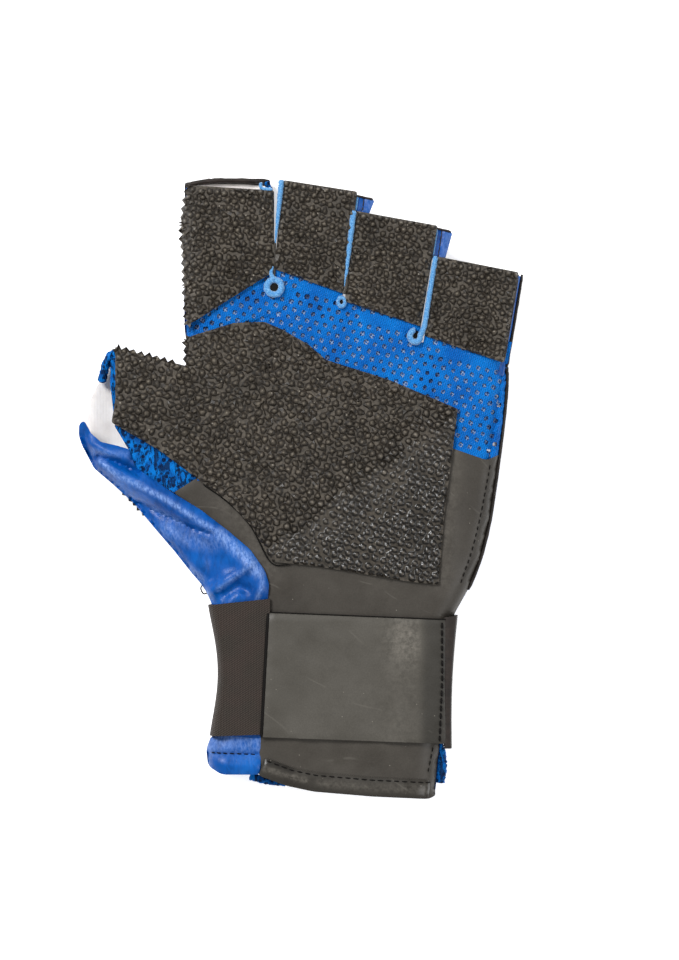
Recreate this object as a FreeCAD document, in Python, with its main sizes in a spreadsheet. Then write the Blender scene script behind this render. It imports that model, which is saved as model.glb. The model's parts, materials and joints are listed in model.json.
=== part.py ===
import FreeCAD, Part
import math
import os

import Sketcher

# A short-finger grip glove for the left hand, laid flat on its back.
#   +X  towards the little finger        +Y  towards the fingertips
#   +Z  out of the palm                  origin: middle of the plan, on the rest surface
# The glove is a stack of flat panels.  From the rest surface up: rubber on the back, back panel,
# lining, the hollow for the hand, lining, palm panel, rubber on the palm.  Side walls join the
# two faces.  Fingers, thumb and the hook tab are cut free along the lines where they bend.

os.makedirs("parts", exist_ok=True)
doc = FreeCAD.newDocument("grip_glove")

# ---------------------------------------------------------------- driving dimensions, in mm
SIZES = {
    # heights above the rest surface
    "back_grip_top": 2.2,
    "back_panel_top": 3.4,
    "back_lining_top": 4.0,
    "palm_lining_base": 13.6,
    "palm_base": 14.2,
    "palm_top": 15.4,
    "grip_top": 18.0,
    "binding_top": 17.2,
    "hem_top": 16.4,
    "cuff_back_base": 4.6,
    "cuff_back_top": 5.8,
    "strap_base": 15.5,
    "strap_top": 17.2,
    "strap_back_base": 3.8,
    "loop_base": 2.6,
    "hook_top": 2.3,
    "tab_top": 1.5,
    # thicknesses and gaps
    "wall": 1.2,
    "lining": 0.6,
    "binding_width": 1.0,
    "crease_gap": 0.2,
    "hem_width": 6.4,
    # wrist strap, seen from the palm
    "strap_left": -31.6,
    "strap_elastic_right": -11.4,
    "strap_right": 51.2,
    "strap_low": -85.0,
    "strap_high": -41.5,
    "elastic_low": -82.6,
    "elastic_high": -39.0,
    "strap_fold": 3.6,
    "tab_hinge_x": -12.0,
    "tab_free_end": 26.0,
    "tab_width": 38.0,
    # stitches and web loops
    "stitch_length": 1.8,
    "stitch_width": 0.5,
    "stitch_pitch": 3.0,
    "bold_stitch_length": 2.6,
    "bold_stitch_pitch": 3.6,
    "loop_radius": 2.4,
    "loop_wire": 0.8,
    # each finger: middle of its bend line, lean to the little-finger side, widths and lengths
    "index_x": -24.9,
    "index_y": 67.2,
    "index_lean": 0.0,
    "index_width": 29.2,
    "index_length": 33.0,
    "index_back_length": 36.3,
    "middle_x": 2.3,
    "middle_y": 66.0,
    "middle_lean": 7.5,
    "middle_width": 22.6,
    "middle_length": 34.6,
    "middle_back_length": 34.6,
    "ring_x": 26.9,
    "ring_y": 55.4,
    "ring_lean": 8.5,
    "ring_width": 24.2,
    "ring_length": 34.6,
    "ring_back_length": 34.6,
    "little_x": 54.3,
    "little_y": 43.5,
    "little_lean": 9.5,
    "little_width": 28.0,
    "little_length": 31.0,
    "little_back_length": 31.0,
}

sheet = doc.addObject("Spreadsheet::Sheet", "sizes")
for row, (alias, number) in enumerate(SIZES.items(), start=1):
    sheet.set(f"A{row}", alias)
    sheet.set(f"B{row}", str(number))
    sheet.setAlias(f"B{row}", alias)
doc.recompute()


def size(alias):
    """The number that the sheet holds under this alias."""
    return float(getattr(sheet, alias))


# ---------------------------------------------------------------- plan outlines, in mm
# The thumb bends along a straight line from the crotch beside the index finger to the wrist.
THUMB_CROTCH = (-39.0, 44.0)
THUMB_WRIST = (-31.5, -37.0)


def thumb_line(y, side):
    """A point beside the thumb's bend line: side is -1 for the thumb, +1 for the hand."""
    share = (THUMB_CROTCH[1] - y) / (THUMB_CROTCH[1] - THUMB_WRIST[1])
    x = THUMB_CROTCH[0] + share * (THUMB_WRIST[0] - THUMB_CROTCH[0])
    return (x + side * size("crease_gap"), y)


# Front edge of the hand between the thumb crotch and the little finger: it follows the bend line
# of each finger and steps down between neighbours.
KNUCKLE_EDGE = [
    (-39.4, 53.0), (-39.6, 67.0), (-9.8, 67.0), (-8.8, 67.1), (13.4, 64.2), (13.7, 61.0),
    (14.2, 57.0), (38.9, 53.1), (39.2, 45.5), (40.4, 45.5), (68.0, 40.8),
]
# Little-finger side of the hand, from the knuckle down to the wrist strap.
OUTER_EDGE = [(68.2, 36.0), (67.6, 27.0), (65.7, 11.2)]
HEEL_EDGE = [(65.7, 11.2), (62.5, -10.7), (59.2, -23.9), (55.2, -34.0), (51.0, -41.4), (50.4, -43.0)]
CUFF_OUTER_EDGE = [(50.4, -43.0), (48.2, -64.0), (46.0, -85.0), (44.3, -101.5)]
CUFF_LOWER_EDGE = [(44.3, -102.6), (42.1, -103.5), (22.9, -102.6), (3.8, -101.0), (-5.2, -99.1),
                   (-14.6, -95.6)]
# Where the mesh of the palm meets the smooth rubber of the heel, under the palm grip.
MESH_HEEL_SEAM = [(61.3, 9.3), (50.2, 13.1), (10.0, 6.0)]
# Where the heel rubber meets the thumb leather.
HEEL_LEATHER_SEAM = [(-24.7, -14.7), (-17.7, -20.7), (-12.8, -27.7), (-11.5, -32.1),
                     (-12.0, -38.0), (-14.0, -83.0)]
# Outside of the thumb, from the rim of its opening down to the wrist.
THUMB_OUTER_EDGE = [
    (-73.4, 17.1), (-71.9, 12.4), (-69.2, 6.8), (-62.6, 1.2), (-55.6, -5.3), (-48.1, -14.2),
    (-42.5, -20.7), (-37.0, -27.7), (-33.8, -31.4),
]
CUFF_INNER_EDGE = [(-30.0, -38.4), (-27.4, -59.0), (-29.4, -82.0)]
CUFF_LOBE = [(-29.4, -83.0), (-32.2, -87.0), (-31.6, -92.6), (-27.0, -95.4)]

PALM_GRIP = [
    (-39.2, 49.4), (-36.5, 50.7), (-22.9, 54.9), (-12.7, 55.3), (-6.8, 52.8), (2.6, 47.3),
    (7.7, 42.7), (28.8, 36.0), (51.7, 26.3), (47.2, -8.9), (45.3, -32.2), (34.8, -31.0),
    (3.8, -25.8), (-10.2, -24.5), (-16.8, -12.8), (-24.7, -4.4), thumb_line(3.0, 1),
    thumb_line(41.2, 1), thumb_line(44.0, 1),
]
INDEX_GRIP_ROOT = [(-38.6, 53.7), (-17.8, 67.0), (-39.3, 67.0)]
THUMB_GRIP = [
    thumb_line(41.3, -1), (-62.2, 47.0), (-62.2, 29.3), (-63.5, 21.8), (-48.1, 12.9),
    thumb_line(3.8, -1),
]
THUMB_MESH = [
    thumb_line(41.3, -1), (-61.8, 46.0), (-66.0, 41.9), (-67.5, 35.0), (-62.4, 20.4),
    (-57.4, 12.0), (-56.0, 6.8), (-43.5, -1.6), thumb_line(-7.0, -1),
]
THUMB_LEATHER = (
    [(-56.0, 6.8), (-57.4, 12.0), (-64.9, 13.8), (-69.2, 15.7)]
    + THUMB_OUTER_EDGE
    + [thumb_line(-33.0, -1), thumb_line(-7.2, -1), (-43.5, -1.8)]
)
THUMB_BACK = (
    [thumb_line(41.0, -1), (-61.8, 45.6), (-66.0, 41.5), (-70.5, 30.0)]
    + THUMB_OUTER_EDGE
    + [thumb_line(-33.0, -1)]
)
THUMB_BACK_GRIP = [
    thumb_line(38.0, -1), (-60.0, 42.0), (-66.0, 30.0), (-67.0, 10.0), (-64.4, 1.0),
    (-58.0, -6.6), (-50.2, -13.4), (-44.0, -14.0), thumb_line(-10.0, -1),
]
BACK_GRIP = [
    thumb_line(30.0, 1), (-38.8, 60.0), (-10.5, 61.0), (13.0, 56.0), (37.0, 49.0), (40.0, 43.0), (65.5, 37.0),
    (64.5, 12.0), (54.0, -25.0), (20.0, -33.0), (-20.0, -33.0), thumb_line(-12.0, 1),
]
WRIST_LEATHER = (
    [thumb_line(-7.6, 1)] + HEEL_LEATHER_SEAM + CUFF_INNER_EDGE[::-1] + [thumb_line(-36.0, 1)]
)
HAND_PLAN_TOP = [thumb_line(44.0, 1)] + KNUCKLE_EDGE + OUTER_EDGE
BACK_PANEL = HAND_PLAN_TOP + HEEL_EDGE[1:4] + [(52.4, -38.0), thumb_line(-36.0, 1)]
LINING_PLAN = [
    (-37.2, 44.0), (-38.2, 66.6), (-9.6, 66.6), (12.8, 63.6), (13.2, 56.8), (38.2, 52.6),
    (39.0, 45.2), (66.6, 40.4), (66.4, 30.0), (64.4, 11.4), (61.0, -10.8), (53.8, -33.6),
    (49.2, -43.0), (44.8, -84.0), (42.4, -98.0), (-25.6, -90.0), (-26.2, -82.0), (-25.8, -59.0),
    (-29.0, -38.0), (-30.4, -36.0),
]
PALM_MESH = HAND_PLAN_TOP + MESH_HEEL_SEAM + [thumb_line(2.4, 1)]
HEEL_PANEL = (
    HEEL_EDGE + CUFF_OUTER_EDGE[1:] + CUFF_LOWER_EDGE + HEEL_LEATHER_SEAM[::-1]
    + [thumb_line(-7.2, 1), thumb_line(2.2, 1)] + MESH_HEEL_SEAM[::-1]
)
CUFF_LEATHER = CUFF_LOBE + [(-14.8, -95.4), (-14.2, -83.4)]
CUFF_BACK = (
    CUFF_INNER_EDGE[:1] + [(50.6, -38.4)] + CUFF_OUTER_EDGE[1:] + [(-14.6, -94.6)]
    + CUFF_LOBE[::-1] + CUFF_INNER_EDGE[:0:-1]
)
THUMB_LINING = [
    (-69.8, 16.5), (-67.0, 8.6), (-60.6, 3.4), (-53.8, -3.4), (-46.2, -12.6), (-36.6, -25.2),
    thumb_line(-28.0, -1), thumb_line(38.6, -1), (-60.8, 43.0), (-68.4, 30.0),
]

# Rubber patch on each finger, in the finger's own frame: x across it, y along it from its bend
# line.  The lower edge slants up beside the web, where the mesh shows.
FINGER_GRIPS = {
    "index": [(-14.6, 0.2), (7.3, 0.2), (14.6, 4.8), (14.6, 31.8), (-13.3, 33.5), (-15.6, 20.8)],
    "middle": [(-11.3, 5.3), (11.3, 0.2), (11.6, 34.4), (-12.2, 35.0)],
    "ring": [(-12.1, 4.7), (12.1, 0.2), (12.7, 34.2), (-13.1, 35.0)],
    "little": [(-14.0, 4.8), (14.0, 0.2), (14.2, 30.8), (-14.2, 31.5)],
}


# ---------------------------------------------------------------- building blocks
def new_body(label):
    """An empty body whose label is the sub-part's name."""
    body = doc.addObject("PartDesign::Body", label)
    body.Label = label
    return body


def new_sketch(body, role, level):
    """A sketch on one of the body's own origin planes, moved along its normal by an expression."""
    sketch = body.newObject("Sketcher::SketchObject", body.Name + "_outline")
    planes = [plane for plane in body.Origin.OriginFeatures if plane.Role == role]
    sketch.AttachmentSupport = (planes[0], [""])
    sketch.MapMode = "FlatFace"
    sketch.setExpression("AttachmentOffset.Base.z", level)
    return sketch


def draw_outline(sketch, points):
    """Close the points with straight lines, each joined to the next."""
    first = sketch.GeometryCount
    count = len(points)
    for here, there in zip(points, points[1:] + points[:1]):
        start = FreeCAD.Vector(here[0], here[1], 0)
        end = FreeCAD.Vector(there[0], there[1], 0)
        sketch.addGeometry(Part.LineSegment(start, end), False)
    for side in range(count):
        joined = first + (side + 1) % count
        sketch.addConstraint(Sketcher.Constraint("Coincident", first + side, 2, joined, 1))


def pad(body, sketch, length, reverse=False):
    """Raise the sketch by an expression's length."""
    feature = body.newObject("PartDesign::Pad", body.Name + "_pad")
    feature.Profile = sketch
    feature.setExpression("Length", length)
    feature.Reversed = reverse
    sketch.Visibility = False
    return feature


def panel(label, outline, base, top):
    """A flat panel of the given plan outline between two heights of the sheet."""
    body = new_body(label)
    sketch = new_sketch(body, "XY_Plane", base)
    draw_outline(sketch, outline)
    pad(body, sketch, f"{top} - ({base})")
    return body


def ribbon(path, width):
    """Plan outline of a strip that lies on the left of a path."""
    inner = []
    for place, point in enumerate(path):
        before = path[max(place - 1, 0)]
        after = path[min(place + 1, len(path) - 1)]
        run = (after[0] - before[0], after[1] - before[1])
        length = math.hypot(*run)
        inner.append((point[0] - run[1] / length * width, point[1] + run[0] / length * width))
    return list(path) + inner[::-1]


def wall(label, path, base, top):
    """A side wall that stands on the left of a path, one wall thickness wide."""
    return panel(label, ribbon(path, size("wall")), base, top)


def section_along_y(label, outlines, near, depth):
    """A constant section in the XZ plane, from y = near over a depth towards +Y."""
    body = new_body(label)
    sketch = new_sketch(body, "XZ_Plane", f"-({near})")
    for outline in outlines:
        draw_outline(sketch, outline)
    pad(body, sketch, depth, reverse=True)
    return body


def rectangle(left, right, low, high):
    """The four corners of an upright rectangle."""
    return [(left, low), (right, low), (right, high), (left, high)]


def bracket(left, right, low, high, skin, opens_right):
    """A C-shaped section: two flanges and one web, open to the right or to the left."""
    points = [
        (left, low), (right, low), (right, low + skin), (left + skin, low + skin),
        (left + skin, high - skin), (right, high - skin), (right, high), (left, high),
    ]
    if opens_right:
        return points
    return [(left + right - x, z) for x, z in points]


def place_on_finger(body, finger):
    """Put a body that was drawn in a finger's own frame at the finger's bend line."""
    body.setExpression("Placement.Base.x", f"sizes.{finger}_x")
    body.setExpression("Placement.Base.y", f"sizes.{finger}_y")
    body.Placement.Rotation = FreeCAD.Rotation(FreeCAD.Vector(0, 0, 1), -size(finger + "_lean"))


def points_along(path, pitch):
    """Evenly spaced places on a path, each with the path's direction in degrees."""
    places = []
    for (x0, y0), (x1, y1) in zip(path, path[1:]):
        length = math.hypot(x1 - x0, y1 - y0)
        count = max(int(length / pitch), 1)
        heading = math.degrees(math.atan2(y1 - y0, x1 - x0))
        for step in range(count):
            share = (step + 0.5) / count
            places.append((x0 + share * (x1 - x0), y0 + share * (y1 - y0), heading))
    return places


def stitching(label, runs, length, pitch):
    """Rows of short thread stitches: each run is a path with the height it lies at."""
    stitches = []
    width = size("stitch_width")
    for path, level in runs:
        for x, y, heading in points_along(path, pitch):
            stitch = Part.makeBox(length, width, width)
            stitch.translate(FreeCAD.Vector(-length / 2, -width / 2, level))
            stitch.rotate(FreeCAD.Vector(0, 0, 0), FreeCAD.Vector(0, 0, 1), heading)
            stitch.translate(FreeCAD.Vector(x, y, 0))
            stitches.append(stitch)
    feature = doc.addObject("Part::Feature", label)
    feature.Label = label
    feature.Shape = Part.makeCompound(stitches)
    return feature


# ---------------------------------------------------------------- fingers
def finger(name, bound):
    """The sub-parts of one finger: rubber on both faces, two side walls, lining and binding."""
    grip = FINGER_GRIPS[name]
    half = size(name + "_width") / 2
    length = size(name + "_length")
    gap = size("crease_gap")
    skin = size("wall")
    pieces = [
        panel(f"{name}_grip", grip, "sizes.palm_top", "sizes.grip_top"),
        panel(f"{name}_back", rectangle(-half, half, gap, size(name + "_back_length")),
              "0", "sizes.back_grip_top"),
        panel(f"{name}_radial_fourchette", rectangle(-half, -half + skin, gap, length),
              "sizes.back_grip_top", "sizes.palm_top"),
        panel(f"{name}_ulnar_fourchette", rectangle(half - skin, half, gap, length),
              "sizes.back_grip_top", "sizes.palm_top"),
    ]
    low = size("back_grip_top")
    high = size("palm_top")
    inside = half - skin
    shell = size("lining")
    pieces.append(section_along_y(
        f"{name}_lining",
        [rectangle(-inside, inside, low, high),
         rectangle(-inside + shell, inside - shell, low + shell, high - shell)],
        "sizes.crease_gap", f"sizes.{name}_length - sizes.crease_gap"))
    if bound:
        edge = [grip[-1], grip[0]]
        strip = ribbon(edge[::-1], size("binding_width"))
        pieces.append(panel(f"{name}_binding", strip, "sizes.palm_top", "sizes.binding_top"))
    for piece in pieces:
        place_on_finger(piece, name)
    return pieces


parts = []
for finger_name in FINGER_GRIPS:
    parts += finger(finger_name, bound=finger_name != "index")

# ---------------------------------------------------------------- hand
palm_levels = ("sizes.palm_base", "sizes.palm_top")
grip_levels = ("sizes.palm_top", "sizes.grip_top")
back_levels = ("sizes.back_grip_top", "sizes.back_panel_top")
wall_levels = ("sizes.back_panel_top", "sizes.palm_base")
cuff_wall_levels = ("sizes.cuff_back_top", "sizes.palm_base")

parts += [
    panel("palm_grip", PALM_GRIP, *grip_levels),
    panel("index_grip_root", INDEX_GRIP_ROOT, *grip_levels),
    panel("palm_mesh", PALM_MESH, *palm_levels),
    panel("heel_panel", HEEL_PANEL, *palm_levels),
    panel("palm_lining", LINING_PLAN, "sizes.palm_lining_base", "sizes.palm_base"),
    panel("back_lining", LINING_PLAN[:12] + LINING_PLAN[-1:], "sizes.back_panel_top",
          "sizes.back_lining_top"),
    panel("back_panel", BACK_PANEL, *back_levels),
    panel("back_grip", BACK_GRIP, "0", "sizes.back_grip_top"),
    panel("wrist_leather", WRIST_LEATHER, *palm_levels),
    wall("radial_side", [(-39.6, 66.8), (-39.4, 53.0), thumb_line(44.2, 1)], *wall_levels),
    wall("ulnar_side", HEEL_EDGE[3::-1] + OUTER_EDGE[1::-1] + [(68.0, 40.8)], *wall_levels),
]


# ---------------------------------------------------------------- webs between the fingers
def web_loops():
    """The sewn loops that end the slits between the fingers, just behind the bend lines."""
    ring = size("loop_radius")
    cord = size("loop_wire")
    loops = []
    for x, y in [(-9.3, 63.6), (11.0, 60.4), (37.0, 48.9)]:
        loop = Part.makeTorus(ring, cord)
        loop.translate(FreeCAD.Vector(x, y, size("palm_top") + cord))
        loops.append(loop)
    feature = doc.addObject("Part::Feature", "web_loops")
    feature.Label = "web_loops"
    feature.Shape = Part.makeCompound(loops)
    return feature


parts.append(web_loops())

# ---------------------------------------------------------------- thumb
parts += [
    panel("thumb_grip", THUMB_GRIP, *grip_levels),
    panel("thumb_mesh", THUMB_MESH, *palm_levels),
    panel("thumb_leather", THUMB_LEATHER, *palm_levels),
    panel("thumb_back", THUMB_BACK, *back_levels),
    panel("thumb_back_grip", THUMB_BACK_GRIP, "0", "sizes.back_grip_top"),
    wall("thumb_outer_side", THUMB_OUTER_EDGE, *wall_levels),
    wall("thumb_web_side", [thumb_line(41.0, -1), (-61.8, 45.6)], *wall_levels),
    panel("thumb_lining", THUMB_LINING, "sizes.back_panel_top", "sizes.back_lining_top"),
]

# ---------------------------------------------------------------- cuff
hem_edge = CUFF_LOWER_EDGE[1:]
parts += [
    panel("cuff_hem", ribbon(hem_edge[::-1], size("hem_width")), "sizes.palm_top", "sizes.hem_top"),
    panel("cuff_leather", CUFF_LEATHER, *palm_levels),
    panel("cuff_back", CUFF_BACK, "sizes.cuff_back_base", "sizes.cuff_back_top"),
    wall("cuff_radial_side", CUFF_INNER_EDGE + CUFF_LOBE[1:3], *cuff_wall_levels),
    wall("cuff_ulnar_side", CUFF_OUTER_EDGE[::-1], *cuff_wall_levels),
]

# ---------------------------------------------------------------- wrist strap
strap_depth = "sizes.strap_high - sizes.strap_low"
skin = size("wall")
elastic_section = bracket(size("strap_left"), size("strap_elastic_right"), 0.0,
                          size("strap_top"), skin, opens_right=True)
# the flange on the back stops just before the tab's hinge line
elastic_section[1] = (size("tab_hinge_x") - size("crease_gap"), 0.0)
elastic_section[2] = (size("tab_hinge_x") - size("crease_gap"), skin)
strap_right_face = size("strap_right") - size("strap_fold")
edge_section = bracket(strap_right_face, size("strap_right") + skin, size("loop_base"),
                       size("strap_top"), skin, opens_right=False)
tab_low = (size("strap_low") + size("strap_high") - size("tab_width")) / 2
tab_high = tab_low + size("tab_width")
tab_start = size("tab_hinge_x") + size("crease_gap")
strap_back_left = size("tab_hinge_x") + 4.0
parts += [
    panel("strap_panel",
          rectangle(size("strap_elastic_right"), strap_right_face, size("strap_low"),
                    size("strap_high")),
          "sizes.strap_base", "sizes.strap_top"),
    section_along_y("strap_elastic", [elastic_section], "sizes.elastic_low",
                    "sizes.elastic_high - sizes.elastic_low"),
    section_along_y("strap_edge_binding", [edge_section], "sizes.strap_low", strap_depth),
    panel("strap_back",
          rectangle(strap_back_left, strap_right_face, size("strap_low"), size("strap_high")),
          "sizes.strap_back_base", "sizes.cuff_back_base"),
    panel("loop_patch",
          rectangle(strap_back_left, size("tab_free_end") + 14.0, tab_low + 1.0,
                    tab_high - 1.0),
          "sizes.loop_base", "sizes.strap_back_base"),
    panel("hook_tab", rectangle(tab_start, size("tab_free_end"), tab_low, tab_high),
          "0", "sizes.tab_top"),
    panel("hook_patch",
          rectangle(tab_start + 8.0, size("tab_free_end") - 2.0, tab_low + 2.0, tab_high - 2.0),
          "sizes.tab_top", "sizes.hook_top"),
]

# ---------------------------------------------------------------- stitching
strap_seam = [(strap_right_face - 2.0, size("strap_low") + 1.0),
              (strap_right_face - 2.0, size("strap_high") - 1.0)]
hem_line = ribbon(hem_edge[::-1], size("hem_width") - 0.8)[len(hem_edge):][::-1]
side_seam = [(58.6, 5.0), (57.4, -12.0), (54.6, -24.0), (51.0, -33.0)]
cuff_side_seam = [(42.6, -87.0), (42.0, -95.4)]
leather_seam = [(-30.2, -88.3), (-15.4, -88.3)]
parts += [
    stitching("strap_stitching", [(strap_seam, size("strap_top"))],
              size("bold_stitch_length"), size("bold_stitch_pitch")),
    stitching("hem_stitching", [(hem_line, size("hem_top"))],
              size("stitch_length"), size("stitch_pitch")),
    stitching("seam_stitching",
              [(side_seam, size("palm_top")), (cuff_side_seam, size("palm_top")),
               (leather_seam, size("palm_top"))],
              size("stitch_length"), size("stitch_pitch")),
]

# ---------------------------------------------------------------- check and write
doc.recompute()
faults = [thing.Name for thing in doc.Objects
          if "Invalid" in thing.State or "Error" in thing.State]
if faults:
    raise RuntimeError(f"failed objects: {faults}")
for part in parts:
    if part.Shape.isNull() or not part.Shape.isValid():
        raise RuntimeError(f"bad shape: {part.Label}")
    part.Shape.exportStep(f"parts/{part.Label}.step")
print(len(parts), "parts written")
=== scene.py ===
import json
import math

import bmesh
import bpy
import numpy as np
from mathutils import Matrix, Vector, geometry
from numpy.linalg import norm


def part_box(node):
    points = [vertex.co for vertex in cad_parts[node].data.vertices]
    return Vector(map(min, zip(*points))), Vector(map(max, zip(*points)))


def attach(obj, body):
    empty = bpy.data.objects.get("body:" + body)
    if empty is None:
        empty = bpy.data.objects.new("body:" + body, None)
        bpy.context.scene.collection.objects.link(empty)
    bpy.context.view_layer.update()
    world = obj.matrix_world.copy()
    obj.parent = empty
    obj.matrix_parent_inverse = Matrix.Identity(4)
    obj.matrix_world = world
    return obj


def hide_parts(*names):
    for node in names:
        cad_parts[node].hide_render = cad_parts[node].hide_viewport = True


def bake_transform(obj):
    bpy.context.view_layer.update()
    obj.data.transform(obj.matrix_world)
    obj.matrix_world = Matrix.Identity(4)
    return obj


# The looks of a left-hand short-finger grip glove, lying on its back with the palm up.
# Plan outlines come from the CAD panels. Lengths are in millimetres until a mesh is made.

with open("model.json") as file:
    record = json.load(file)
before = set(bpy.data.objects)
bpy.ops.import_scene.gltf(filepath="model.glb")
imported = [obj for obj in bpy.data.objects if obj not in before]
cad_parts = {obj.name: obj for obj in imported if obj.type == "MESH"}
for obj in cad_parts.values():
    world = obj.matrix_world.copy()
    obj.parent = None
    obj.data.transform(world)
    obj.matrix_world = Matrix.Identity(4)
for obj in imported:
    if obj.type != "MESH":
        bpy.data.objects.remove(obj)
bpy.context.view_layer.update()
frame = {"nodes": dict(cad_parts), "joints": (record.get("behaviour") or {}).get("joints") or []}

MM = 0.001
FINGERS = ("index", "middle", "ring", "little")
rng = np.random.default_rng(7)

# ------------------------------------------------------------------ heights of the soft layers, mm
SEAM = 8.8             # where palm side and back side meet at a closed edge
PALM = 14.9            # outer face of mesh, heel rubber and leather on the palm side
BACK = 2.7             # outer face of the leather on the back
WRIST_RISE = 2.4       # how much higher the back of the cuff lies, over the strap
WRIST = (32.0, 44.0)   # where it rises, below the plan's middle
EDGE_REACH = 7.0       # how far in from a closed edge the surface curves
CLOTH = 0.9            # thickness of mesh, leather and heel rubber
RUBBER = 1.0           # thickness of the studded rubber under its studs
FINGER_STUDS = 2.6     # from stud to stud on the fingers
PALM_STUDS = 2.95      # and on the palm and back
TRIM_LEVEL = PALM + 0.9    # where tapes and cut edges lie on the palm side
STUD_JITTER = 0.3      # how far a stud may stand from its place in the pattern
HAND_MIDDLE = np.array([14.0, 0.0])    # the plan's middle, which outer sides are far from


# ------------------------------------------------------------------ plan outlines from the frame
def corners(node):
    """Corners of a flat CAD panel, in order round its upper face, as an array of x, y in mm."""
    mesh = bmesh.new()
    mesh.from_mesh(frame["nodes"][node].data)
    bmesh.ops.remove_doubles(mesh, verts=mesh.verts, dist=1e-6)
    mesh.verts.index_update()
    top = max(v.co.z for v in mesh.verts)
    lid = [f for f in mesh.faces if all(abs(v.co.z - top) < 1e-5 for v in f.verts)]
    after = {}
    for face in lid:
        for loop in face.loops:
            if sum(other in lid for other in loop.edge.link_faces) == 1:
                after[loop.vert.index] = loop.link_loop_next.vert.index
    place = {v.index: (v.co.x / MM, v.co.y / MM) for v in mesh.verts}
    mesh.free()
    start = next(iter(after))
    ring = [start]
    while after[ring[-1]] != start:
        ring.append(after[ring[-1]])
    points = [np.array(place[i]) for i in ring]
    kept = []
    for before, here, there in zip(points[-1:] + points[:-1], points, points[1:] + points[:1]):
        one, two = here - before, there - here
        turn = abs(one[0] * two[1] - one[1] * two[0])
        if turn > 1e-3 * norm(one) * norm(two):
            kept.append(here)
    return np.array(kept)


def joined(first, second):
    """One outline from two that face each other across a narrow gap."""
    best = None
    for i in range(len(first)):
        a, b = first[i], first[(i + 1) % len(first)]
        for j in range(len(second)):
            c, d = second[j], second[(j + 1) % len(second)]
            apart = norm(a - d) + norm(b - c)
            if best is None or apart < best[0]:
                best = (apart, i, j)
    head = np.roll(first, -(best[1] + 1), axis=0)
    tail = np.roll(second, -(best[2] + 1), axis=0)
    for mine, other in ((-1, 0), (0, -1)):
        head[mine] = (head[mine] + tail[other]) / 2
    return np.vstack([head, tail[1:-1]])


def outer_path(node):
    """The outer long side of a CAD side wall, as a path."""
    ring = corners(node)
    lengths = norm(np.roll(ring, -1, axis=0) - ring, axis=1)
    first, second = sorted(np.argsort(lengths)[:2])
    sides = [ring[first + 1:second + 1],
             np.roll(ring, -(second + 1), axis=0)[:len(ring) - second + first]]
    return max(sides, key=lambda side: norm(side - HAND_MIDDLE, axis=1).mean())


def distance(points, path):
    """Shortest distance from each point to an open path."""
    best = np.full(len(points), 1e9)
    for a, b in zip(path[:-1], path[1:]):
        run = b - a
        share = np.clip(((points - a) @ run) / max(run @ run, 1e-9), 0, 1)
        best = np.minimum(best, norm(points - a - share[:, None] * run, axis=1))
    return best


def closed(loop):
    """The loop as a path that ends where it starts."""
    return np.vstack([loop, loop[:1]])


def inside(points, loop):
    """Which points lie inside a loop."""
    found = np.zeros(len(points), bool)
    x, y = points[:, 0], points[:, 1]
    for a, b in zip(loop, np.roll(loop, -1, axis=0)):
        if a[1] == b[1]:
            continue
        crossing = (b[0] - a[0]) * (y - a[1]) / (b[1] - a[1]) + a[0]
        found ^= ((a[1] > y) != (b[1] > y)) & (x < crossing)
    return found


def resampled(loop, step):
    """Points every step or so along a loop, its corners kept."""
    points = []
    for a, b in zip(loop, np.roll(loop, -1, axis=0)):
        count = max(1, int(round(norm(b - a) / step)))
        points += [a + (b - a) * i / count for i in range(count)]
    return np.array(points)


def rounded(loop, radius):
    """The loop with each corner cut back and rounded."""
    points, steps, most = [], 4, 0.45      # a corner takes at most this share of each side
    for before, here, there in zip(np.roll(loop, 1, axis=0), loop, np.roll(loop, -1, axis=0)):
        start, end = (here + (other - here) / norm(other - here)
                      * min(radius, norm(other - here) * most) for other in (before, there))
        for i in range(steps + 1):
            s = i / steps
            points.append((1 - s) ** 2 * start + 2 * s * (1 - s) * here + s ** 2 * end)
    return np.array(points)


def line_points(ends, count):
    """Points spaced evenly along a path."""
    ends = np.asarray(ends, float)
    places = np.concatenate([[0], np.cumsum(norm(np.diff(ends, axis=0), axis=1))])
    wanted = np.linspace(0, places[-1], count)
    return np.column_stack([np.interp(wanted, places, ends[:, k]) for k in range(ends.shape[1])])


def curve_points(points, count):
    """A smooth path through a few points."""
    points = np.asarray(points, float)
    padded = np.vstack([2 * points[0] - points[1], points, 2 * points[-1] - points[-2]])
    places = []
    for s in np.linspace(0, len(points) - 1.0001, count):
        i = int(s)
        t = s - i
        a, b, c, d = padded[i:i + 4]
        places.append(0.5 * (2 * b + (c - a) * t + (2 * a - 5 * b + 4 * c - d) * t * t
                             + (3 * b - a - 3 * c + d) * t ** 3))
    return np.array(places)


def lifted(plan, level):
    """Plan points at one level."""
    return np.column_stack([plan, np.full(len(plan), level)])


def full_turn(count):
    """Angles spaced evenly round a circle."""
    return np.linspace(0, 2 * math.pi, count, endpoint=False)


def beside(points, path, width):
    """1 on a path, falling off smoothly over a width."""
    return np.exp(-(distance(points, np.asarray(path, float)) / width) ** 2)


def spin(angle):
    """The matrix that turns rows of plan points by an angle in degrees."""
    turn = math.radians(angle)
    return np.array([[math.cos(turn), math.sin(turn)], [-math.sin(turn), math.cos(turn)]])


def smooth_step(value, low, high):
    """0 below low, 1 above high, and smooth between."""
    t = np.clip((value - low) / (high - low), 0, 1)
    return t * t * (3 - 2 * t)


def dome(depth, reach):
    """A quarter round: 0 at an edge, 1 from reach inwards."""
    t = np.clip(depth / reach, 0, 1)
    return np.sqrt(np.clip(1 - (1 - t) ** 2, 0, 1))


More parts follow.
